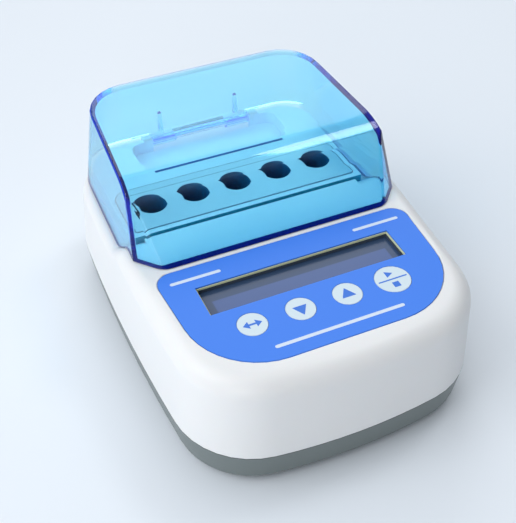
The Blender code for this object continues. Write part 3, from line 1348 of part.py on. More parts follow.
def build_hinge_pin():
    """Turn the steel pin that carries the lid between the housing's ears."""
    half = KNUCKLE_OUTER_X + EAR_THICK
    edge = PIN_RADIUS / 4
    profile = [
        (0, -half), (PIN_RADIUS - edge, -half), (PIN_RADIUS, -half + edge),
        (PIN_RADIUS, half - edge), (PIN_RADIUS - edge, half), (0, half),
    ]
    bm = bmesh.new()
    add_turned(bm, profile, (0, HINGE_Y, HINGE_Z), "X", HOLE_SEGMENTS)
    make_object("hinge_pin", bm, STEEL)


def build_power_switch():
    """Make the rear rocker switch: its housing in the wall and its rocker."""
    face_y = POCKET_Y + GAP
    outer_y = face_y + ROCKER_BEZEL_THICK
    half_x = ROCKER_BEZEL_WIDTH / 2
    half_z = ROCKER_BEZEL_HEIGHT / 2
    bm = bmesh.new()
    bezel = rectangle(ROCKER_X - half_x, ROCKER_X + half_x, POCKET_MID_Z - half_z,
                      POCKET_MID_Z + half_z)
    bezel = rounded_polygon(bezel, [ROCKER_BEZEL_FILLET] * 4, SMALL_FILLET_STEPS)
    add_back_prism(bm, bezel, face_y, outer_y)
    body = make_object("power_switch_housing", bm, BLACK_PLASTIC)
    bm = bmesh.new()
    body_half_x = ROCKER_BODY_WIDTH / 2
    body_half_z = ROCKER_BODY_HEIGHT / 2
    core = rectangle(ROCKER_X - body_half_x, ROCKER_X + body_half_x,
                     POCKET_MID_Z - body_half_z, POCKET_MID_Z + body_half_z)
    add_back_prism(bm, core, face_y - ROCKER_BODY_DEPTH, face_y + ROCKER_BEZEL_THICK / 2)
    boolean(body, "UNION", make_guide("switch_body", bm))
    bm = bmesh.new()
    hollow_half_x = body_half_x - ROCKER_CAVITY_WALL
    hollow_half_z = body_half_z - ROCKER_CAVITY_WALL
    hollow = rectangle(ROCKER_X - hollow_half_x, ROCKER_X + hollow_half_x,
                       POCKET_MID_Z - hollow_half_z, POCKET_MID_Z + hollow_half_z)
    add_back_prism(bm, hollow, outer_y - ROCKER_CAVITY_DEPTH, outer_y + OVERSHOOT)
    boolean(body, "DIFFERENCE", make_guide("switch_cavity", bm))

    pivot_y = outer_y - ROCKER_PIVOT_DEPTH
    tilt = radians(ROCKER_TILT_DEGREES)
    rocker_half_z = hollow_half_z - GAP
    reach = (hollow_half_x - GAP) * cos(tilt) - ROCKER_PIVOT_DEPTH * sin(tilt)
    crown = ROCKER_PIVOT_DEPTH + ROCKER_CROWN
    profile = [(-reach, -ROCKER_PIVOT_DEPTH / 2), (0, -ROCKER_KEEL),
               (reach, -ROCKER_PIVOT_DEPTH / 2)]
    dish = ROCKER_CROWN / 2
    for step in range(ROCKER_STEPS + 1):
        share = 1 - 2 * step / ROCKER_STEPS
        height = crown - dish * (1 - share * share)
        profile.append((reach * share * ROCKER_TOP_SHARE, height))
    turned = []
    for x, y in profile:
        turned.append((x * cos(tilt) - y * sin(tilt), x * sin(tilt) + y * cos(tilt)))
    bm = bmesh.new()
    outline = [(ROCKER_X + x, pivot_y + y) for x, y in turned]
    add_prism(bm, outline, POCKET_MID_Z - rocker_half_z, POCKET_MID_Z + rocker_half_z)
    rocker = make_object("power_rocker", bm, BLACK_PLASTIC)
    rest_origin(rocker, (ROCKER_X, pivot_y, POCKET_MID_Z))


def build_power_inlet():
    """Turn the round power inlet with its bore and centre pin."""
    flange_low = GAP
    flange_high = flange_low + INLET_FLANGE_THICK
    bore_floor = flange_high - INLET_BORE_DEPTH
    pin_top = flange_high - INLET_PIN_SHORT
    profile = [
        (0, -INLET_BODY_DEPTH), (INLET_BODY_RADIUS, -INLET_BODY_DEPTH),
        (INLET_BODY_RADIUS, flange_low), (INLET_FLANGE_RADIUS, flange_low),
        (INLET_FLANGE_RADIUS, flange_high - INLET_EDGE),
        (INLET_FLANGE_RADIUS - INLET_EDGE, flange_high),
        (INLET_BORE_RADIUS, flange_high), (INLET_BORE_RADIUS, bore_floor),
        (INLET_PIN_RADIUS, bore_floor), (INLET_PIN_RADIUS, pin_top), (0, pin_top),
    ]
    bm = bmesh.new()
    add_turned(bm, profile, (INLET_X, POCKET_Y, POCKET_MID_Z), "Y")
    make_object("power_inlet", bm, BLACK_PLASTIC)


def main():
    """Build every piece of the incubator."""
    clear_scene()
    build_base_tray()
    build_top_housing()
    build_case_screws()
    build_feet()
    build_panel_overlay()
    build_keys()
    build_tact_switches()
    build_display()
    build_control_board()
    build_heating_block()
    build_heater_stack()
    build_block_clamp()
    build_lid()
    build_hinge_pin()
    build_power_switch()
    build_power_inlet()


main()
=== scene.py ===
"""Looks of a small bench incubator: finishes, printed marks, clear lid, studio and camera.

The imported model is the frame. Moulded shells are smoothed copies of its nodes, and the
marks, screw recesses and trims are modelled here. Lengths are in metres.
"""

import logging
from dataclasses import dataclass
from enum import Enum
from math import cos, pi, radians, sin

import bmesh
import bpy
from bmesh.types import BMesh, BMFace
from bpy.types import Material, Node, NodeTree, Object
from mathutils import Matrix, Vector


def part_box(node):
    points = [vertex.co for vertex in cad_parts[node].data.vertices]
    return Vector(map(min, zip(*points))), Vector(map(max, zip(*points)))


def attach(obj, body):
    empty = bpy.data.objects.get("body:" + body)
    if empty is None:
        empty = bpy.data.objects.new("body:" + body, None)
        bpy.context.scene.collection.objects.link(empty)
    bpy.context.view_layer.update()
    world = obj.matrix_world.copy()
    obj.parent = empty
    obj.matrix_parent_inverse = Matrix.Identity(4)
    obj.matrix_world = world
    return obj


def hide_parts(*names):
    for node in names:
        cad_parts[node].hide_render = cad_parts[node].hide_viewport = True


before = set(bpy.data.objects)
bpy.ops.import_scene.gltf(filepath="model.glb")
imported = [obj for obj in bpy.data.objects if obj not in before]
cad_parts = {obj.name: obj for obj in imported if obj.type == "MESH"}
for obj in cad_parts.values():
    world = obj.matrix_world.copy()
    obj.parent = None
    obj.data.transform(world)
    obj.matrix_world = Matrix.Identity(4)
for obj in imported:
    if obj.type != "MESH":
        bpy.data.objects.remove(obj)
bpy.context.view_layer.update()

MM = 0.001
MERGE_DISTANCE = 0.001 * MM
FLAT_DEGREES = 0.05
SMOOTH_DEGREES = 35.0
CORNER_STEPS = {3: 4, 4: 6}

Colour = tuple[float, float, float]
Point = tuple[float, float, float]
Inputs = dict[str | int, object]
log = logging.getLogger("incubator")


class Body(str, Enum):
    """The bodies of the frame that a piece can ride on."""

    CASE = "case"
    LID = "lid"
    KEY_CURSOR = "key_cursor"
    KEY_DOWN = "key_down"
    KEY_UP = "key_up"
    KEY_START_STOP = "key_start_stop"
    ROCKER = "power_rocker"


class Slot(str, Enum):
    """Names of material slots; the display's loop lists two of them but reads neither."""

    WHITE = "white_shell"
    GREY = "grey_shell"
    FILM = "blue_film"
    KEY = "key_white"
    CLEAR = "clear_blue"
    METAL = "bare_metal"
    STEEL = "steel"
    BLACK = "black_plastic"
    DISPLAY = "display"
    RUBBER = "foot_rubber"


class Nodes:
    """A small helper that adds and feeds the nodes of one tree."""

    def __init__(self, tree: NodeTree) -> None:
        """Keep the tree.

        Args:
            tree: The node tree that nodes are added to.
        """
        self.tree = tree

    def add(self, kind: str, inputs: Inputs | None = None, **settings: object) -> Node:
        """Add a node.

        Args:
            kind: The node's type name, where ShaderNode in front of it is left out.
            inputs: Its inputs, as feed takes them.
            settings: Properties of the node itself, which are set first.

        Returns:
            The new node.
        """
        node = self.tree.nodes.new(kind if kind.startswith("Node") else "ShaderNode" + kind)
        for key, value in settings.items():
            setattr(node, key, value)
        self.feed(node, inputs or {})
        return node

    def feed(self, node: Node, inputs: Inputs) -> None:
        """Set or link inputs of a node.

        Args:
            node: The node.
            inputs: By socket name or number, a value or a link. A link is a pair of a node
                and the name or number of its output.
        """
        for key, value in inputs.items():
            if isinstance(value, tuple) and isinstance(value[0], Node):
                self.tree.links.new(value[0].outputs[value[1]], node.inputs[key])
            else:
                node.inputs[key].default_value = value

    def blend(self, share: tuple, first: tuple, second: tuple) -> Node:
        """Mix two colours.

        Args:
            share: The link that gives the second colour's share.
            first: The first colour with its alpha, or a link.
            second: The second colour with its alpha, or a link.

        Returns:
            The mix, whose colour is output 2.
        """
        return self.add("Mix", {0: share, 6: first, 7: second}, data_type="RGBA")


def new_group(name: str, inputs: dict[str, float | None]) -> Nodes:
    """Make an empty shader group that puts out a surface's colour, roughness and height.

    Args:
        name: The group's name.
        inputs: Input names with their defaults, where None means a colour.

    Returns:
        A helper for the group's tree.
    """
    tree = bpy.data.node_groups.new(name, "ShaderNodeTree")
    for label, default in inputs.items():
        kind = "NodeSocketColor" if default is None else "NodeSocketFloat"
        socket = tree.interface.new_socket(label, in_out="INPUT", socket_type=kind)
        if default is not None:
            socket.default_value = default
    for label, kind in (("Colour", "Color"), ("Roughness", "Float"), ("Height", "Float")):
        tree.interface.new_socket(label, in_out="OUTPUT", socket_type="NodeSocket" + kind)
    return Nodes(tree)


def vary(nodes: Nodes, source: Node, noise: Node, swing: float | tuple, grain: Node) -> None:
    """Finish a group: a noise changes its tone and roughness about their middle values.

    Args:
        nodes: The group's nodes.
        source: Its input node.
        noise: The noise.
        swing: How much of the noise goes into the roughness, as a number or a link.
        grain: The noise that gives the height.
    """
    centred = nodes.add("Math", {0: (noise, "Fac"), 1: 0.5}, operation="SUBTRACT")
    tone = nodes.add("Math", {0: (centred, 0), 1: (source, "Tone"), 2: 1.0},
                     operation="MULTIPLY_ADD")
    shade = nodes.add("VectorMath", {"Vector": (source, "Colour"), "Scale": (tone, 0)},
                      operation="SCALE")
    rough = nodes.add("Math", {0: (centred, 0), 1: swing, 2: (source, "Roughness")},
                      operation="MULTIPLY_ADD", use_clamp=True)
    nodes.add("NodeGroupOutput", {
        "Colour": (shade, "Vector"), "Roughness": (rough, 0), "Height": (grain, "Fac")})


def moulded_grain_group() -> NodeTree:
    """Build the group for moulded, cast and printed surfaces.

    Returns:
        A group that puts out a colour with a slow change of tone, a roughness that changes
        in patches, and the height of a fine grain.
    """
    nodes = new_group("moulded_grain", {
        "Colour": None, "Roughness": 0.4, "Tone": 0.03, "Patchiness": 0.04,
        "Grain Per Metre": 2500.0, "Patches Per Metre": 40.0})
    source = nodes.add("NodeGroupInput")
    place = nodes.add("TexCoord")
    patches = nodes.add("TexNoise", {
        "Vector": (place, "Object"), "Scale": (source, "Patches Per Metre"), "Detail": 3.0,
        "Roughness": 0.5})
    grain = nodes.add("TexNoise", {
        "Vector": (place, "Object"), "Scale": (source, "Grain Per Metre"), "Detail": 2.0,
        "Roughness": 0.6})
    vary(nodes, source, patches, (source, "Patchiness"), grain)
    return nodes.tree


def machined_group() -> NodeTree:
    """Build the group for machined and drawn metal.

    Returns:
        A group that puts out a colour, a roughness and a height streaked along X.
    """
    nodes = new_group("machined_streaks", {
        "Colour": None, "Roughness": 0.3, "Tone": 0.1, "Streaks Per Metre": 6000.0})
    source = nodes.add("NodeGroupInput")
    place = nodes.add("TexCoord")
    stretch = nodes.add("Mapping", {"Vector": (place, "Object"), "Scale": (0.02, 1.0, 1.0)})
    streaks = nodes.add("TexNoise", {
        "Vector": (stretch, "Vector"), "Scale": (source, "Streaks Per Metre"), "Detail": 4.0,
        "Roughness": 0.65})
    vary(nodes, source, streaks, 0.2, streaks)
    return nodes.tree


MOULDED_GRAIN = moulded_grain_group()
MACHINED_STREAKS = machined_group()


def empty_material(name: str) -> tuple[Material, Nodes, Node]:
    """Make a material with a bare Principled shader.

    Args:
        name: The material's name.

    Returns:
        The material, a helper for its tree, and its Principled node.
    """
    material = bpy.data.materials.new(name)
    material.use_nodes = True
    return material, Nodes(material.node_tree), material.node_tree.nodes["Principled BSDF"]


def grained_material(name: str, tree: NodeTree, inputs: Inputs, relief: float,
                     shine: Inputs) -> Material:
    """Make a material whose colour, roughness and bump come from a surface group.

    Args:
        name: The material's name.
        tree: The group.
        inputs: The group's inputs.
        relief: How high the bump stands.
        shine: Further inputs of the shader itself.

    Returns:
        The finished material.
    """
    material, nodes, shader = empty_material(name)
    group = nodes.add("Group", inputs, node_tree=tree)
    bump = nodes.add("Bump", {"Strength": 1.0, "Distance": relief, "Height": (group, "Height")})
    nodes.feed(shader, {
        "Base Color": (group, "Colour"), "Roughness": (group, "Roughness"),
        "Normal": (bump, "Normal"), **shine})
    return material


@dataclass(frozen=True)
class Moulded:
    """A moulded, cast, foamed or printed surface, or a flat colour of painted shade."""

    name: str
    colour: Colour
    roughness: float
    tone: float = 0.04
    patchiness: float = 0.06
    grain: float = 2500.0
    patches: float = 40.0
    relief: float = 0.004 * MM
    coat: float = 0.0
    subsurface: float = 0.0
    specular: float = 0.5
    coat_roughness: float = 0.08
    subsurface_scale: float = 1.0 * MM

    def build(self) -> Material:
        """Build the material.

        Returns:
            The finished material.
        """
        return grained_material(self.name, MOULDED_GRAIN, {
            "Colour": (*self.colour, 1.0), "Roughness": self.roughness, "Tone": self.tone,
            "Patchiness": self.patchiness, "Grain Per Metre": self.grain,
            "Patches Per Metre": self.patches,
        }, self.relief, {
            "Coat Weight": self.coat, "Coat Roughness": self.coat_roughness,
            "Subsurface Weight": self.subsurface, "Subsurface Scale": self.subsurface_scale,
            "Specular IOR Level": self.specular})


@dataclass(frozen=True)
class Metal:
    """A machined or drawn metal surface."""

    name: str
    colour: Colour
    roughness: float
    tone: float = 0.12
    streaks: float = 6000.0
    relief: float = 0.003 * MM

    def build(self) -> Material:
        """Build the material.

        Returns:
            The finished material.
        """
        return grained_material(self.name, MACHINED_STREAKS, {
            "Colour": (*self.colour, 1.0), "Roughness": self.roughness, "Tone": self.tone,
            "Streaks Per Metre": self.streaks}, self.relief, {"Metallic": 1.0})


@dataclass(frozen=True)
class Clear:
    """Clear tinted plastic whose colour deepens with the way that light takes in it."""

    name: str
    tint: Colour
    density: float
    roughness: float = 0.02
    bend: float = 1.22
    gloss: float = 0.5
    lamp_pass: Colour = (0.55, 0.73, 0.80)
    edge_glow: Colour = (0.0, 0.07, 1.0)
    edge_glow_strength: float = 0.45
    edge_glow_from: float = 3.5
    edge_glow_to: float = 5.0

    def build(self) -> Material:
        """Build the material.

        Returns:
            The finished material. Rays from lamps pass straight, so that what lies inside is lit. Paths
            that have turned many times inside a wall get a painted deep blue glow, standing in for the
            deep blue of a tinted sheet's edges, because the render ends such paths early.
        """
        material, nodes, shader = empty_material(self.name)
        path = nodes.add("LightPath")
        late = nodes.add("MapRange", {
            "Value": (path, "Ray Depth"), "From Min": self.edge_glow_from,
            "From Max": self.edge_glow_to})
        glow = nodes.blend((late, "Result"), (0.0, 0.0, 0.0, 1.0), (*self.edge_glow, 1.0))
        nodes.feed(shader, {
            "Base Color": (1.0, 1.0, 1.0, 1.0), "Roughness": self.roughness, "IOR": self.bend,
            "Coat Weight": self.gloss, "Emission Strength": self.edge_glow_strength,
            "Emission Color": (glow, 2), "Transmission Weight": 1.0})
        inside = nodes.add("VolumeAbsorption", {"Density": self.density, "Color": (*self.tint, 1.0)})
        passed = nodes.add("BsdfTransparent", {"Color": (*self.lamp_pass, 1.0)})
        mix = nodes.add("MixShader", {0: (path, "Is Shadow Ray"), 1: (shader, 0), 2: (passed, 0)})
        nodes.feed(material.node_tree.nodes["Material Output"], {
            "Surface": (mix, 0), "Volume": (inside, 0)})
        return material


@dataclass(frozen=True)
class TintedWindow:
    """Tinted display window: a dark border that passes softly into a lighter cell."""

    name: str
    border: Colour
    border_front: Colour
    cell: Colour
    middle: Point
    half: tuple[float, float]
    blur: float
    roughness: float = 0.2
    tone: float = 0.08
    patchiness: float = 0.03
    grain: float = 3000.0
    patches: float = 70.0
    specular: float = 0.3
    border_reach: float = 3.0

    def build(self) -> Material:
        """Build the material.

        Returns:
            The finished material, whose pattern lies on Object coordinates.
        """
        material, nodes, shader = empty_material(self.name)
        place = nodes.add("TexCoord")
        centred = nodes.add("VectorMath", {0: (place, "Object"), 1: self.middle},
                            operation="SUBTRACT")
        apart = nodes.add("VectorMath", {0: (centred, "Vector")}, operation="ABSOLUTE")
        parted = nodes.add("SeparateXYZ", {0: (apart, "Vector")})
        masks = [
            nodes.add("MapRange", {
                "Value": (parted, axis), "From Min": half + self.blur,
                "From Max": half - self.blur}, interpolation_type="SMOOTHSTEP")
            for axis, half in zip("XY", self.half)
        ]
        both = nodes.add("Math", {0: (masks[0], "Result"), 1: (masks[1], "Result")},
                         operation="MULTIPLY")
        along = nodes.add("SeparateXYZ", {0: (centred, "Vector")})
        deepen = nodes.add("MapRange", {
            "Value": (along, "Y"), "From Min": self.border_reach * self.half[1],
            "From Max": self.half[1]})
        shade = nodes.blend((deepen, "Result"), (*self.border, 1.0), (*self.border_front, 1.0))
        glass = nodes.blend((both, 0), (shade, 2), (*self.cell, 1.0))
        group = nodes.add("Group", {
            "Colour": (glass, 2), "Roughness": self.roughness, "Tone": self.tone,
            "Patchiness": self.patchiness, "Grain Per Metre": self.grain,
            "Patches Per Metre": self.patches}, node_tree=MOULDED_GRAIN)
        nodes.feed(shader, {
            "Base Color": (group, "Colour"), "Roughness": (group, "Roughness"),
            "Specular IOR Level": self.specular})
        return material


WHITE_SHELL = Moulded("white_moulding", (0.81, 0.82, 0.83), 0.34, 0.02, 0.05, 1800.0, 30.0,
                      0.003 * MM, 0.0, 0.05, 0.36).build()
GREY_SHELL = Moulded("grey_moulding", (0.150, 0.180, 0.180), 0.42, 0.05, 0.08, 3000.0, 35.0,
                     0.006 * MM, 0.1).build()
BLUE_FILM = Moulded("blue_printed_film", (0.062, 0.235, 0.87), 0.42, 0.03, 0.05, 5000.0, 25.0,
                    0.003 * MM, specular=0.22).build()
KEY_PLASTIC = Moulded("white_key_film", (0.66, 0.78, 0.85), 0.4, 0.02, 0.05, 5000.0, 60.0,
                      0.003 * MM, specular=0.3).build()
WHITE_PRINT = Moulded("white_print", (0.68, 0.77, 0.90), 0.4, 0.02, 0.04, 6000.0, 80.0, 0.002 * MM,
                      specular=0.2).build()
BLUE_PRINT = Moulded("blue_print", (0.055, 0.20, 0.72), 0.4, 0.03, 0.04, 6000.0, 80.0, 0.002 * MM,
                     specular=0.2).build()
BLOCK_METAL = Metal("satin_aluminium", (0.53, 0.56, 0.59), 0.5, 0.06).build()
# Painted shade: near-black teal for the bores of the wells, for the shade deep inside them.
WELL_SHADE = Moulded("shaded_bore", (0.0, 0.11, 0.22), 0.6, 0.15, specular=0.05).build()
PIN_STEEL = Metal("drawn_steel", (0.62, 0.63, 0.65), 0.22).build()
SCREW_STEEL = Metal("zinc_screw", (0.50, 0.51, 0.52), 0.32).build()
BLACK_PLASTIC = Moulded("black_moulding", (0.018, 0.019, 0.022), 0.36, 0.1, 0.1, 4000.0, 60.0,
                        0.006 * MM).build()
DISPLAY_EDGE = Moulded("display_border", (0.075, 0.085, 0.115), 0.22, 0.05, 0.04, 4000.0, 60.0,
                       0.002 * MM, 0.5).build()
DISPLAY_CELL = Moulded("display_cell", (0.13, 0.16, 0.33), 0.16, 0.10, 0.03, 3000.0, 90.0,
                       0.001 * MM, 0.8).build()
GASKET = Moulded("pale_gasket", (0.72, 0.76, 0.46), 0.6, 0.1, 0.1, 3000.0, 120.0).build()
# Painted shade: near black for the lower part of the window's cut wall, where shade falls.
SHADED_WINDOW_WALL = Moulded("painted_shade_window_wall", (0.055, 0.075, 0.105), 0.5, 0.1, 0.1, 3000.0,
                      120.0).build()
BOARD = Moulded("board_lacquer", (0.015, 0.14, 0.06), 0.3, 0.15, 0.1, 1500.0, 90.0).build()
HEATER = Moulded("heater_rubber", (0.62, 0.20, 0.05), 0.6, 0.12, 0.1, 2500.0, 80.0).build()
FOAM = Moulded("grey_foam", (0.17, 0.17, 0.18), 0.95, 0.35, 0.05, 1400.0, 300.0, 0.15 * MM).build()
RUBBER = Moulded("foot_rubber", (0.022, 0.022, 0.024), 0.75, 0.2, 0.1, 2600.0, 90.0,
                 0.02 * MM).build()
# Painted shade: teal for the groove in front of the wells, deepening the shade that falls in it.
GROOVE_SHADE = Moulded("shaded_groove", (0.09, 0.42, 0.48), 0.5, 0.05, 0.05, 1800.0, 40.0,
                       0.003 * MM, specular=0.2).build()
# Painted shade: blue for the slot behind the wells, deepening the shade inside it.
SLOT_SHADE = Moulded("shaded_slot", (0.07, 0.26, 0.58), 0.5, 0.05, 0.05, 1800.0, 40.0, 0.003 * MM,
                     specular=0.2).build()
# Painted shade: flat deep blue for the lid's creases, standing in for the longer way light takes
# through the tinted wall there.
LID_EDGE_SHADE = Moulded("painted_edge_shade", (0.0, 0.035, 0.46), 0.2, 0.05, 0.03, 2000.0, 60.0, 0.002 * MM,
                   specular=0.3).build()
LID_CLEAR = Clear("clear_blue_lid", (0.11, 0.78, 0.90), 350.0).build()
# Painted shade: flat navy for the down-facing faces of the lid's rim, where the tinted wall looks dark
# edge-on.
LID_RIM_SHADE = Moulded("painted_rim_shade", (0.004, 0.008, 0.16), 0.2, 0.1, 0.05, 2000.0, 60.0, 0.002 * MM,
                  0.5).build()


def joined_mesh(node: str, edge: float = 0.0) -> BMesh:
    """Copy a CAD node's mesh, merge its loose triangles and join those that are coplanar.

    Args:
        node: The CAD node's name.
        edge: How wide its sharp outward edges are rounded, where 0 leaves them.

    Returns:
        A bmesh of the joined copy.
    """
    bm = bmesh.new()
    bm.from_mesh(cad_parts[node].data)
    bmesh.ops.remove_doubles(bm, verts=bm.verts, dist=MERGE_DISTANCE)
    bmesh.ops.dissolve_limit(
        bm, angle_limit=radians(FLAT_DEGREES), verts=bm.verts, edges=bm.edges)
    if edge:
        soften(bm, edge)
    return bm


def soften(bm: BMesh, width: float, segments: int = 2, degrees: float = 50.0,
           low_z: float | None = None) -> list[BMFace]:
    """Round the sharp outward edges of a mesh.

    Args:
        bm: The mesh to change.
        width: How far the rounding reaches from each edge.
        segments: Strips across the rounding.
        degrees: Edges that turn by more than this are rounded.
        low_z: Edges that reach below this height are left alone.

    Returns:
        The faces of the rounding.
    """
    chosen = []
    for edge in bm.edges:
        if len(edge.link_faces) != 2 or edge.calc_face_angle(0.0) < radians(degrees):
            continue
        if low_z is not None and min(vert.co.z for vert in edge.verts) < low_z:
            continue
        if edge.is_convex:
            chosen.append(edge)
    made = bmesh.ops.bevel(
        bm, geom=chosen, offset=width, offset_type="OFFSET", affect="EDGES", segments=segments,
        profile=0.5, material=-1, clamp_overlap=False)
    return made["faces"]


def take_mesh(name: str, bm: BMesh) -> bpy.types.Mesh:
    """Turn a bmesh into a mesh.

    Args:
        name: The mesh's name.
        bm: The bmesh, which is freed.

    Returns:
        The mesh.
    """
    mesh = bpy.data.meshes.new(name)
    bm.to_mesh(mesh)
    bm.free()
    return mesh


def add_object(name: str, data: bpy.types.ID) -> Object:
    """Put a new object into the scene.

    Args:
        name: Its name.
        data: Its mesh, light or camera.

    Returns:
        The object.
    """
    thing = bpy.data.objects.new(name, data)
    bpy.context.scene.collection.objects.link(thing)
    return thing


def make_piece(name: str, bm: BMesh, materials: list[Material], body: Body,
               replaces: tuple[str, ...] = (), weighted: bool = True) -> Object:
    """Turn a bmesh into a piece of the object.

    Args:
        name: The piece's name.
        bm: Its mesh in place, which is freed.
        materials: Its materials, in the order of the faces' material numbers.
        body: The body it rides on.
        replaces: CAD nodes that it stands for.
        weighted: Whether large faces keep their own normals.

    Returns:
        The finished object.
    """
    mesh = take_mesh(name, bm)
    mesh.shade_smooth()
    mesh.set_sharp_from_angle(angle=radians(SMOOTH_DEGREES))
    for material in materials:
        mesh.materials.append(material)
    piece = add_object(name, mesh)
    if weighted:
        modifier = piece.modifiers.new("even_normals", "WEIGHTED_NORMAL")
        modifier.keep_sharp = True
    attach(piece, body.value)
    if replaces:
        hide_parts(*replaces)
    log.info("%s: %d faces on %s", name, len(mesh.polygons), body.value)
    return piece


def stamp(target: BMesh, part: BMesh, place: Matrix) -> None:
    """Move a part into place and add it to a mesh.

    Args:
        target: The mesh that grows.
        part: The mesh to add, which is freed.
        place: Where it goes.
    """
    bmesh.ops.transform(part, matrix=place, verts=part.verts)
    mesh = take_mesh("stamp", part)
    target.from_mesh(mesh)
    bpy.data.meshes.remove(mesh)


def rounded_prism(sides: int, length: float, width: float, thickness: float,
                  radius: float) -> BMesh:
    """Make a flat shape with rounded corners, centred, standing on its base.

    Args:
        sides: 4 for a plate, or 3 for a triangle that points along +Y.
        length: Its size along X.
        width: Its size along Y.
        thickness: Its height.
        radius: How far its corners are rounded.

    Returns:
        The shape's mesh.
    """
    bm = bmesh.new()
    if sides == 4:
        bmesh.ops.create_cube(bm, size=1.0)
    else:
        bmesh.ops.create_cone(bm, cap_ends=True, segments=sides, radius1=1.0, radius2=1.0, depth=1.0)
    low = Vector(map(min, *(vert.co for vert in bm.verts)))
    high = Vector(map(max, *(vert.co for vert in bm.verts)))
    spread = high - low
    shape = Matrix.Diagonal((length / spread.x, width / spread.y, thickness / spread.z, 1.0))
    middle = (low + high) / 2
    bmesh.ops.transform(bm, verts=bm.verts, matrix=Matrix.Translation((0, 0, thickness / 2))
                        @ shape @ Matrix.Translation(-middle))
    upright = [edge for edge in bm.edges
               if abs(edge.verts[0].co.z - edge.verts[1].co.z) > 0.5 * edge.calc_length()]
    bmesh.ops.bevel(bm, geom=upright, offset=radius, offset_type="OFFSET", affect="EDGES",
                    segments=CORNER_STEPS[sides], profile=0.5, material=-1, clamp_overlap=True)
    return bm


def turned_solid(profile: list[tuple[float, float]], segments: int = 48,
                 ring: bool = False) -> BMesh:
    """Spin a profile of (radius, height) points about Z.

    Args:
        profile: The points, from the axis out and back to it, or round a ring's section.
        segments: Steps round the circle.
        ring: Whether the last point joins the first.

    Returns:
        The closed solid's mesh.
    """
    bm = bmesh.new()
    points = [bm.verts.new((radius, 0, height)) for radius, height in profile]
    ends = points[1:] + points[:1] if ring else points[1:]
    edges = [bm.edges.new(pair) for pair in zip(points, ends)]
    bmesh.ops.spin(bm, geom=points + edges, cent=(0, 0, 0), axis=(0, 0, 1), angle=2 * pi,
                   steps=segments, use_merge=True)
    bmesh.ops.remove_doubles(bm, verts=bm.verts, dist=MERGE_DISTANCE)
    bmesh.ops.recalc_face_normals(bm, faces=bm.faces)
    return bm


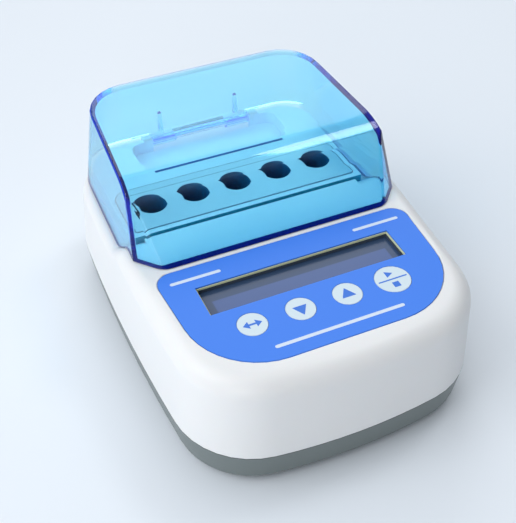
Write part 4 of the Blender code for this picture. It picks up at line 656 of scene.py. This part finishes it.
@dataclass
class CaseShells:
    """The white housing, the grey tray, the rubber feet and the case screws."""

    foot_edge: float = 0.5 * MM
    foot_hollow: float = 0.15 * MM
    foot_hollow_shares: tuple[float, float] = (0.55, 0.6)
    screw_steps: int = 32
    screw_shank_share: float = 0.5
    screw_flat_share: float = 0.7
    screw_bend_share: float = 0.92
    screw_bend: float = 0.25 * MM
    screw_side: float = 0.7 * MM
    screw_head: float = 2.0 * MM
    screw_recess: float = 2.1 * MM
    screw_recess_width: float = 0.7 * MM
    screw_recess_depth: float = 1.2 * MM
    screw_recess_corner: float = 0.1 * MM
    groove_front: float = 6.3 * MM
    groove_rear: float = 8.4 * MM
    groove_half: float = 47.0 * MM
    slot_front: float = 40.0 * MM
    slot_rear: float = 42.0 * MM
    slot_half: float = 26.3 * MM
    recess_low: float = 38.0 * MM
    recess_high: float = 46.5 * MM
    corners: tuple[str, ...] = ("front_left", "front_right", "rear_left", "rear_right")

    def build(self) -> None:
        """Make the shells and what stands under them."""
        housing = joined_mesh("top_housing")
        # The groove's and the slot's faces take the painted shade.
        for face in housing.faces:
            face.material_index = self.shade(face)
        make_piece("housing_shell", housing, [WHITE_SHELL, GROOVE_SHADE, SLOT_SHADE], Body.CASE,
                   ("top_housing",))
        make_piece("base_shell", joined_mesh("base_tray"), [GREY_SHELL], Body.CASE,
                   ("base_tray",))
        for corner in self.corners:
            self.foot(corner)
            self.screw(corner)

    def shade(self, face: BMFace) -> int:
        """Choose the finish of a face of the housing, where two recesses take painted shade.

        Args:
            face: A face of the housing.

        Returns:
            1, the painted teal shade, for a wall or the floor of the groove in front of the wells, 2,
            the painted blue shade, for the inside of the slot behind them, and 0 for all else.
        """
        middle = face.calc_center_median()
        if not self.recess_low < middle.z < self.recess_high:
            return 0
        if self.groove_front < middle.y < self.groove_rear and abs(middle.x) < self.groove_half:
            return 1
        if self.slot_front < middle.y < self.slot_rear and abs(middle.x) < self.slot_half:
            return 2
        return 0

    def foot(self, corner: str) -> None:
        """Make one rubber foot with a soft edge.

        Args:
            corner: Which corner it stands at.
        """
        low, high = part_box("foot_" + corner)
        radius = (high.x - low.x) / 2
        height = high.z - low.z
        edge = self.foot_edge
        inner, outer = (radius * share for share in self.foot_hollow_shares)
        profile = [(0, self.foot_hollow), (inner, self.foot_hollow), (outer, 0), (radius - edge, 0)]
        profile += [(radius - edge + edge * sin(turn), edge - edge * cos(turn))
                    for turn in (pi / 8, pi / 4, 3 * pi / 8, pi / 2)]
        profile += [(radius, height), (0, height)]
        bm = turned_solid(profile)
        middle = (low + high) / 2
        bmesh.ops.translate(bm, verts=bm.verts, vec=(middle.x, middle.y, low.z))
        make_piece("foot_pad_" + corner, bm, [RUBBER], Body.CASE, ("foot_" + corner,))

    def screw(self, corner: str) -> None:
        """Make one case screw with a cross recess in its head.

        Args:
            corner: Which corner it is driven in.
        """
        node = "case_screw_" + corner
        low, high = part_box(node)
        middle = (low + high) / 2
        head = (high.x - low.x) / 2
        shank = head * self.screw_shank_share
        length = high.z - low.z
        profile = [(0, 0), (head * self.screw_flat_share, 0),
                   (head * self.screw_bend_share, self.screw_bend), (head, self.screw_side),
                   (head, self.screw_head), (shank, self.screw_head), (shank, length - shank),
                   (0, length)]
        bm = turned_solid(profile, self.screw_steps)
        bmesh.ops.translate(bm, verts=bm.verts, vec=(middle.x, middle.y, low.z))
        screw = make_piece("cross_screw_" + corner, bm, [SCREW_STEEL], Body.CASE, (node,))
        cutter = bmesh.new()
        for turn in (0, pi / 2):
            bar = rounded_prism(4, 2 * self.screw_recess, self.screw_recess_width,
                                2 * self.screw_recess_depth, self.screw_recess_corner)
            place = Matrix.Translation((middle.x, middle.y, low.z - self.screw_recess_depth))
            stamp(cutter, bar, place @ Matrix.Rotation(turn + pi / 4, 4, "Z"))
        carve(screw, cutter)


def carve(piece: Object, cutter: BMesh) -> None:
    """Cut a shape out of a piece and keep the result in its mesh.

    Args:
        piece: The object to cut.
        cutter: The shape to take away, which is freed.
    """
    mesh = take_mesh("cutter", cutter)
    knife = add_object("cutter", mesh)
    for modifier in list(piece.modifiers):
        piece.modifiers.remove(modifier)
    cut = piece.modifiers.new("cut", "BOOLEAN")
    cut.operation = "DIFFERENCE"
    cut.solver = "EXACT"
    cut.use_self = True
    cut.object = knife
    bpy.context.view_layer.update()
    seen = piece.evaluated_get(bpy.context.evaluated_depsgraph_get())
    result = bpy.data.meshes.new_from_object(seen)
    piece.modifiers.remove(cut)
    old = piece.data
    piece.data = result
    result.set_sharp_from_angle(angle=radians(SMOOTH_DEGREES))
    bpy.data.meshes.remove(old)
    bpy.data.objects.remove(knife)
    bpy.data.meshes.remove(mesh)


@dataclass
class Keypad:
    """The printed film, its marks, the keys and their symbols."""

    print_depth: float = 0.035 * MM
    print_sink: float = 0.01 * MM
    film_edge: float = 0.1 * MM
    bar_width: float = 1.3 * MM
    bar_round: float = 0.49
    top_bar_y: float = -18.7 * MM
    top_bar_inner: float = 24.6 * MM
    top_bar_outer: float = 42.3 * MM
    low_bar_y: float = -56.9 * MM
    low_bar_half: float = 22.6 * MM
    symbol_width: float = 5.0 * MM
    symbol_height: float = 4.2 * MM
    symbol_corner: float = 0.25 * MM
    down_shift: float = -0.2
    up_shift: float = 0.15
    arrow_half: float = 3.3 * MM
    arrow_head: float = 2.1 * MM
    arrow_spread: float = 1.5
    arrow_rise: float = 1.05
    arrow_line: float = 0.75 * MM
    arrow_line_round: float = 0.2
    divider_half: float = 5.2 * MM
    divider_width: float = 0.55 * MM
    divider_round: float = 0.3
    mark_offset: float = 2.6 * MM
    mark_size: float = 2.6 * MM
    mark_round: float = 0.6
    play_width: float = 1.1
    stop_width: float = 0.9
    cap_top: float = 0.4 * MM
    web_gap: float = 0.04 * MM
    web_reach: float = 0.36 * MM
    web_drop: float = 0.03 * MM
    web_thickness: float = 0.15 * MM

    def build(self) -> None:
        """Make the film, the printed bars and the four keys."""
        film = joined_mesh("panel_overlay", self.film_edge)
        rows = (
            ("key_cursor", Body.KEY_CURSOR, self.cursor_symbol, ()),
            ("key_down", Body.KEY_DOWN, self.triangle_symbol, (self.down_shift, pi)),
            ("key_up", Body.KEY_UP, self.triangle_symbol, (self.up_shift, 0.0)),
            ("key_start_stop", Body.KEY_START_STOP, self.start_stop_symbol, ()),
        )
        for node, *_ in rows:
            self.web(film, node)
        make_piece("keypad_film", film, [BLUE_FILM], Body.CASE, ("panel_overlay",))
        self.bars()
        for node, body, symbol, how in rows:
            name = node.removeprefix("key_")
            make_piece("cap_" + name, joined_mesh(node), [KEY_PLASTIC], body, (node,))
            low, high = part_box(node)
            middle = Vector(((low.x + high.x) / 2, (low.y + high.y) / 2, high.z - self.print_sink))
            mark = bmesh.new()
            symbol(mark, Matrix.Translation(middle), *how)
            make_piece("symbol_" + name, mark, [BLUE_PRINT], body, weighted=False)

    def web(self, film: BMesh, node: str) -> None:
        """Bring the film close round a key with a thin ring.

        Args:
            film: The film's mesh.
            node: The key that the ring goes round.
        """
        low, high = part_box(node)
        centre = (low + high) / 2
        cap = [vert.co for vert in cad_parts[node].data.vertices
               if vert.co.z > high.z - self.cap_top]
        radius = max((point.xy - centre.xy).length for point in cap)
        inner = radius + self.web_gap
        outer = radius + self.web_reach
        high_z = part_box("panel_overlay")[1].z - self.web_drop
        low_z = high_z - self.web_thickness
        section = [(inner, low_z), (outer, low_z), (outer, high_z), (inner, high_z)]
        stamp(film, turned_solid(section, ring=True), Matrix.Translation((centre.x, centre.y, 0)))

    def bars(self) -> None:
        """Print the three white bars on the film."""
        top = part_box("panel_overlay")[1].z - self.print_sink
        middle = (self.top_bar_inner + self.top_bar_outer) / 2
        length = self.top_bar_outer - self.top_bar_inner
        bars = (
            ("bar_left", -middle, self.top_bar_y, length),
            ("bar_right", middle, self.top_bar_y, length),
            ("bar_front", 0.0, self.low_bar_y, 2 * self.low_bar_half),
        )
        for name, x, y, size in bars:
            bm = rounded_prism(4, size, self.bar_width, self.print_depth,
                               self.bar_width * self.bar_round)
            bmesh.ops.translate(bm, verts=bm.verts, vec=(x, y, top))
            make_piece(name, bm, [WHITE_PRINT], Body.CASE, weighted=False)

    def cursor_symbol(self, bm: BMesh, place: Matrix) -> None:
        """Draw a line with an arrow head at each end.

        Args:
            bm: The mesh that takes the symbol.
            place: The middle of the key's top.
        """
        line = rounded_prism(4, 2 * (self.arrow_half - self.arrow_head / 2), self.arrow_line,
                             self.print_depth, self.arrow_line * self.arrow_line_round)
        stamp(bm, line, place)
        for side in (-1, 1):
            head = rounded_prism(3, self.arrow_head * self.arrow_spread, self.arrow_head,
                                 self.print_depth * self.arrow_rise,
                                 self.symbol_corner * self.mark_round)
            shift = Matrix.Translation((side * (self.arrow_half - self.arrow_head / 2), 0, 0))
            stamp(bm, head, place @ shift @ Matrix.Rotation(-side * pi / 2, 4, "Z"))

    def triangle_symbol(self, bm: BMesh, place: Matrix, shift: float, turn: float) -> None:
        """Draw a triangle.

        Args:
            bm: The mesh that takes the symbol.
            place: The middle of the key's top.
            shift: How far it lies behind the middle, as a share of its height.
            turn: Its turn about Z, where 0 points towards the back.
        """
        mark = rounded_prism(3, self.symbol_width, self.symbol_height, self.print_depth,
                             self.symbol_corner)
        moved = place @ Matrix.Translation((0, shift * self.symbol_height, 0))
        stamp(bm, mark, moved @ Matrix.Rotation(turn, 4, "Z"))

    def start_stop_symbol(self, bm: BMesh, place: Matrix) -> None:
        """Draw a dividing line with a play triangle above it and a stop square below.

        Args:
            bm: The mesh that takes the symbol.
            place: The middle of the key's top.
        """
        line = rounded_prism(4, 2 * self.divider_half, self.divider_width, self.print_depth,
                             self.divider_width * self.divider_round)
        stamp(bm, line, place)
        corner = self.symbol_corner * self.mark_round
        play = rounded_prism(3, self.mark_size * self.play_width, self.mark_size, self.print_depth,
                             corner)
        stamp(bm, play, place @ Matrix.Translation((0, self.mark_offset, 0))
              @ Matrix.Rotation(-pi / 2, 4, "Z"))
        side = self.mark_size * self.stop_width
        stop = rounded_prism(4, side, side, self.print_depth, corner)
        stamp(bm, stop, place @ Matrix.Translation((0, -self.mark_offset, 0)))


@dataclass
class Display:
    """The display behind the film's window, its tinted window and the gasket round it."""

    edge: float = 0.12 * MM
    cap_slope: float = 0.9
    gasket_corner: float = 0.1 * MM
    gasket_wall: float = 0.28 * MM
    gasket_clear: float = 0.04 * MM
    gasket_height: float = 0.7 * MM
    window_half: float = 35.4 * MM
    window_rear: float = -23.2 * MM
    window_front: float = -36.5 * MM
    cell_rear: float = -28.7 * MM
    cell_half: float = 31.8 * MM
    cell_blur: float = 0.35 * MM
    sheet_gap: float = 0.02 * MM
    sheet_corner: float = 0.5 * MM
    sheet_thickness: float = 0.2 * MM
    sheet_margin: float = 0.8 * MM

    def build(self) -> None:
        """Make the frame, the cell, the window sheet and the gasket."""
        for name, node, finish, slot in (
            ("display_frame", "display_bezel", DISPLAY_EDGE, Slot.BLACK),
            ("display_cell", "display_glass", DISPLAY_CELL, Slot.DISPLAY),
        ):
            make_piece(name, joined_mesh(node, self.edge), [finish], Body.CASE, (node,))
        self.sheet()
        self.gasket()

    def sheet_top(self) -> float:
        """Give the height of the window sheet's top.

        Returns:
            The height in metres.
        """
        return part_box("display_bezel")[1].z + self.sheet_gap + self.sheet_thickness

    def sheet(self) -> None:
        """Lay the thin tinted window over the frame and the cell."""
        depth = self.window_rear - self.window_front
        cell_depth = self.cell_rear - self.window_front + self.sheet_margin
        finish = TintedWindow(
            "tinted_window", (0.026, 0.048, 0.088), (0.038, 0.075, 0.165), (0.062, 0.118, 0.305),
            (0.0, self.window_front - self.sheet_margin + cell_depth / 2, 0.0),
            (self.cell_half, cell_depth / 2), self.cell_blur)
        bm = rounded_prism(4, 2 * (self.window_half + self.sheet_margin), depth + 2 * self.sheet_margin,
                           self.sheet_thickness, self.sheet_corner)
        middle = (self.window_rear + self.window_front) / 2
        bmesh.ops.translate(bm, verts=bm.verts,
                            vec=(0, middle, self.sheet_top() - self.sheet_thickness))
        make_piece("display_window", bm, [finish.build()], Body.CASE, weighted=False)

    def gasket(self) -> None:
        """Line the window's cut edge with a thin pale gasket above a wall in painted dark shade."""
        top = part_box("panel_overlay")[0].z
        drop = top - self.sheet_top() - self.sheet_gap
        length = 2 * (self.window_half - self.gasket_clear)
        width = self.window_rear - self.window_front - 2 * self.gasket_clear
        bm = rounded_prism(4, length, width, drop, self.gasket_corner)
        caps = [face for face in bm.faces if abs(face.normal.z) > self.cap_slope]
        bmesh.ops.inset_region(bm, faces=caps, thickness=self.gasket_wall)
        inner = [face for face in caps if face.is_valid]
        bmesh.ops.bridge_loops(bm, edges=list({edge for face in inner for edge in face.edges}))
        bmesh.ops.delete(bm, geom=inner, context="FACES_ONLY")
        split = drop - self.gasket_height
        bmesh.ops.bisect_plane(bm, geom=bm.verts[:] + bm.edges[:] + bm.faces[:], plane_co=(0, 0, split),
                               plane_no=(0, 0, 1))
        bmesh.ops.recalc_face_normals(bm, faces=bm.faces)
        # Faces below the split take the painted shade, and those above it take the gasket's colour.
        for face in bm.faces:
            face.material_index = int(face.calc_center_median().z < split)
        middle = (self.window_rear + self.window_front) / 2
        bmesh.ops.translate(bm, verts=bm.verts, vec=(0, middle, top - drop))
        make_piece("window_gasket", bm, [GASKET, SHADED_WINDOW_WALL], Body.CASE, weighted=False)


@dataclass
class ClearLid:
    """The see-through lid, with painted deep blue shade on its creases and painted navy shade on its
    rim.
    """

    rim_number: int = 1
    edge_number: int = 2
    crease: float = 0.7 * MM
    crease_segments: int = 3
    crease_degrees: float = 38.0
    crease_from: float = 9.0 * MM
    rim_slope: float = -0.55
    rim_height: float = 8.0 * MM
    hinge_half: float = 20.2 * MM
    hinge_reach: float = 9.0 * MM
    wall: float = 2.0 * MM
    face_lean: float = 16.6 * MM
    face_height: float = 20.9 * MM
    corner_rise: float = 28.0 * MM
    top_slope: float = 3.7 / 61.3
    bend: float = 24.0 * MM
    bend_out: float = 1.3 * MM
    bend_widening: float = 1.018
    bend_slack_degrees: float = 0.5
    beside_from: float = 0.62
    rear_from: float = 58.0 * MM
    rear_rise: float = 28.0 * MM
    rear_tilt: float = -0.75
    edge_rise: float = 10.0 * MM
    edge_steepest: float = 0.25
    edge_flattest: float = 0.93
    edge_forward: float = -0.2
    slack: float = 0.06 * MM

    def build(self) -> None:
        """Make the lid from the CAD shape and sort its faces into clear plastic and the painted shade
        of its creases and rim.
        """
        bm = joined_mesh("lid")
        self.move_bend_out(bm)
        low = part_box("lid")[0].z
        strips = soften(bm, self.crease, self.crease_segments, self.crease_degrees,
                        low + self.crease_from)
        bm.normal_update()
        # Crease strips at the sides and the rear take the painted deep blue shade.
        for face in strips:
            middle = face.calc_center_median()
            under_top = middle.z > low + self.rear_rise
            rear = middle.y > self.rear_from and not (under_top and face.normal.z > self.rear_tilt)
            if rear or abs(face.normal.x) > self.beside_from:
                face.material_index = self.edge_number
        # Faces on the rounded edge round the top take the painted deep blue shade too.
        for face in bm.faces:
            if self.on_top_edge(face):
                face.material_index = self.edge_number
            # The rim's down-facing faces take the painted navy shade.
            if self.on_rim(face):
                face.material_index = self.rim_number
        make_piece("lid_shell", bm, [LID_CLEAR, LID_RIM_SHADE, LID_EDGE_SHADE], Body.LID, ("lid",))

    def move_bend_out(self, bm: BMesh) -> None:
        """Move the bend between the sloping face and the top out to where the photo has it.

        Args:
            bm: The lid's mesh.
        """
        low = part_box("lid")[0]
        corner = Vector((low.y + self.face_lean, low.z + self.corner_rise))
        down = Vector((-self.face_lean, -self.face_height)).normalized()
        back = Vector((1.0, self.top_slope)).normalized()
        inward = (down + back).normalized()
        half_corner = down.angle(inward)
        centre = corner + inward * self.bend / sin(half_corner)
        half_turn = pi / 2 - half_corner + radians(self.bend_slack_degrees)
        for vert in bm.verts:
            arm = Vector((vert.co.y, vert.co.z)) - centre
            on_bend = min(abs(arm.length - self.bend), abs(arm.length - self.bend + self.wall))
            if arm.angle(-inward) > half_turn or on_bend > self.slack:
                continue
            vert.co.x *= self.bend_widening
            vert.co.y -= inward.x * self.bend_out
            vert.co.z -= inward.y * self.bend_out

    def on_top_edge(self, face: BMFace) -> bool:
        """Say whether a face lies on the rounded edge round the lid's top.

        Args:
            face: A face of the lid.

        Returns:
            True for a face between the top and a side or the rear, seen from outside.
        """
        slope = face.normal.z
        if not self.edge_steepest < slope < self.edge_flattest:
            return False
        high = face.calc_center_median().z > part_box("lid")[0].z + self.edge_rise
        return high and face.normal.y > self.edge_forward

    def on_rim(self, face: BMFace) -> bool:
        """Say whether a face belongs to the lid's bottom rim.

        Args:
            face: A face of the lid.

        Returns:
            True where the face looks down, within the rim's height and off the hinge foot.
        """
        low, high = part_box("lid")
        middle = face.calc_center_median()
        near_hinge = abs(middle.x) < self.hinge_half and middle.y > high.y - self.hinge_reach
        in_rim = face.normal.z < self.rim_slope and middle.z < low.z + self.rim_height
        return in_rim and not near_hinge


@dataclass
class Block:
    """The heating block with its wells, and the hinge pin."""

    edge: float = 0.25 * MM
    edge_segments: int = 2
    edge_degrees: float = 60.0
    edge_depth: float = 0.5 * MM
    well_depth: float = 0.12 * MM
    well_front: float = 4.5 * MM
    well_rear: float = 3.5 * MM
    well_side: float = 4.0 * MM

    def build(self) -> None:
        """Make the block and paint shade into its wells."""
        bm = joined_mesh("heating_block")
        low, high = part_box("heating_block")
        soften(bm, self.edge, self.edge_segments, self.edge_degrees, high.z - self.edge_depth)
        # Faces deep in the wells take the painted shade.
        for face in bm.faces:
            middle = face.calc_center_median()
            across = low.y + self.well_front < middle.y < high.y - self.well_rear
            along = abs(middle.x) < high.x - self.well_side
            if across and along and middle.z < high.z - self.well_depth:
                face.material_index = 1
        make_piece("block_body", bm, [BLOCK_METAL, WELL_SHADE], Body.CASE,
                   ("heating_block",))
        make_piece("hinge_rod", joined_mesh("hinge_pin"), [PIN_STEEL], Body.CASE,
                   ("hinge_pin",))


@dataclass
class RearPanel:
    """The rocker switch and the power inlet."""

    edge: float = 0.2 * MM

    def build(self) -> None:
        """Make the switch and the inlet."""
        for name, node, body, edge in (
            ("switch_frame", "power_switch_housing", Body.CASE, self.edge),
            ("rocker_cap", "power_rocker", Body.ROCKER, self.edge),
            ("inlet_socket", "power_inlet", Body.CASE, 0.0),
        ):
            make_piece(name, joined_mesh(node, edge), [BLACK_PLASTIC], body, (node,))


class Inside:
    """The pieces inside the case, which keep their CAD shapes."""

    def build(self) -> None:
        """Dress each inner node."""
        finishes = {
            "control_board": BOARD, "buzzer": BLACK_PLASTIC, "heater_mat": HEATER,
            "insulation_jacket": FOAM, "block_clamp": SCREW_STEEL, "temperature_sensor": PIN_STEEL,
            "thermal_cutout": BLACK_PLASTIC,
        }
        for name in ("cursor", "down", "up", "start_stop"):
            finishes["tact_switch_" + name] = BLACK_PLASTIC
        for corner in CaseShells.corners:
            finishes["board_screw_" + corner] = SCREW_STEEL
            finishes["clamp_screw_" + corner] = SCREW_STEEL
        for node, material in finishes.items():
            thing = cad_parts[node]
            if not thing.material_slots:
                thing.data.materials.append(material)
            for slot in thing.material_slots:
                slot.material = material
            log.info("%s: dressed with %s", node, material.name)


@dataclass(frozen=True)
class Softbox:
    """One square studio light."""

    name: str
    place: Point
    size: float
    power: float
    colour: Colour

    def build(self, target: Vector) -> None:
        """Hang the light and turn it to a target.

        Args:
            target: The point that it faces.
        """
        lamp = bpy.data.lights.new(self.name, "AREA")
        lamp.shape = "SQUARE"
        lamp.size = self.size
        lamp.energy = self.power
        lamp.color = self.colour
        light = add_object(self.name, lamp)
        light.location = self.place
        light.rotation_euler = (target - Vector(self.place)).to_track_quat("-Z", "Y").to_euler()


@dataclass
class Studio:
    """The floor, the lights, the sky and the camera."""

    target: Point = (0.0, 0.0, 0.03)
    floor_half: float = 3.0
    floor_colour: Colour = (0.80, 0.855, 0.92)
    sky_colour: Colour = (0.93, 0.965, 1.0)
    sky_base: float = 0.33
    sky_rise: float = 0.72
    sky_bright_side: Point = (-0.58, 0.20, 0.79)
    sky_dark_side: Point = (0.33, -0.755, 0.565)
    sky_dark_from: float = 0.78
    sky_dark_to: float = 0.92
    sky_dark_share: float = 0.12
    camera_place: Point = (-0.1104, -0.2356, 0.2641)
    camera_right: Point = (0.911, -0.412, 0.005)
    camera_up: Point = (0.274, 0.617, 0.737)
    focal_pixels: float = 970.46
    image_height: float = 523.0
    sensor: float = 36.0
    clip_start: float = 0.01

    def build(self) -> None:
        """Build the studio round the object."""
        self.floor()
        self.sky()
        for light in (
            Softbox("key_light", (-0.65, -0.05, 0.66), 0.6, 2.3, (1.0, 0.99, 0.98)),
            Softbox("top_light", (0.36, 0.10, 0.80), 0.16, 0.7, (0.98, 0.99, 1.0)),
            Softbox("rear_light", (0.33, 0.78, 0.72), 0.5, 1.75, (0.99, 0.995, 1.0)),
            Softbox("front_fill", (-0.62, -0.85, 0.34), 0.5, 2.0, (1.0, 0.975, 0.95)),
        ):
            light.build(Vector(self.target))
        self.camera()

    def floor(self) -> None:
        """Lay the pale floor."""
        bm = bmesh.new()
        bmesh.ops.create_grid(bm, x_segments=1, y_segments=1, size=self.floor_half)
        mesh = take_mesh("floor", bm)
        finish = Moulded("pale_floor", self.floor_colour, 0.55, 0.01, 0.02, 800.0, 6.0)
        mesh.materials.append(finish.build())
        floor = add_object("floor", mesh)

    def sky(self) -> None:
        """Light the scene from all round, more from one side, like a studio tent."""
        world = bpy.data.worlds.new("studio")
        world.use_nodes = True
        nodes = Nodes(world.node_tree)
        way = nodes.add("TexCoord")
        facing = nodes.add("VectorMath", {
            0: (way, "Generated"), 1: self.sky_bright_side}, operation="DOT_PRODUCT")
        lit = nodes.add("Math", {0: (facing, "Value"), 1: 0.0}, operation="MAXIMUM")
        power = nodes.add("Math", {0: (lit, 0), 1: self.sky_rise, 2: self.sky_base},
                          operation="MULTIPLY_ADD")
        away = nodes.add("VectorMath", {
            0: (way, "Generated"), 1: self.sky_dark_side}, operation="DOT_PRODUCT")
        dimmed = nodes.add("MapRange", {
            "Value": (away, "Value"), "From Min": self.sky_dark_from, "From Max": self.sky_dark_to,
            "To Min": 1.0, "To Max": self.sky_dark_share})
        strength = nodes.add("Math", {0: (power, 0), 1: (dimmed, "Result")}, operation="MULTIPLY")
        nodes.feed(world.node_tree.nodes["Background"], {
            "Color": (*self.sky_colour, 1.0), "Strength": (strength, 0)})
        bpy.context.scene.world = world

    def camera(self) -> None:
        """Place the camera at the photograph's viewing angle."""
        data = bpy.data.cameras.new("camera")
        data.sensor_width = self.sensor
        data.lens = self.focal_pixels * self.sensor / self.image_height
        data.clip_start = self.clip_start
        camera = add_object("camera", data)
        right = Vector(self.camera_right).normalized()
        back = right.cross(Vector(self.camera_up)).normalized()
        up = back.cross(right)
        turn = Matrix((right, up, back)).transposed().to_4x4()
        camera.matrix_world = Matrix.Translation(self.camera_place) @ turn
        bpy.context.scene.camera = camera


def main() -> None:
    """Build the incubator's looks, one sub-assembly after another."""
    logging.basicConfig(level=logging.INFO, format="%(name)s: %(message)s")
    bpy.context.scene.view_settings.view_transform = "Standard"
    for part in (Studio(), CaseShells(), Keypad(), Display(), ClearLid(), Block(), RearPanel(),
                 Inside()):
        log.info("building %s", type(part).__name__)
        part.build()


if __name__ == "__main__":
    main()
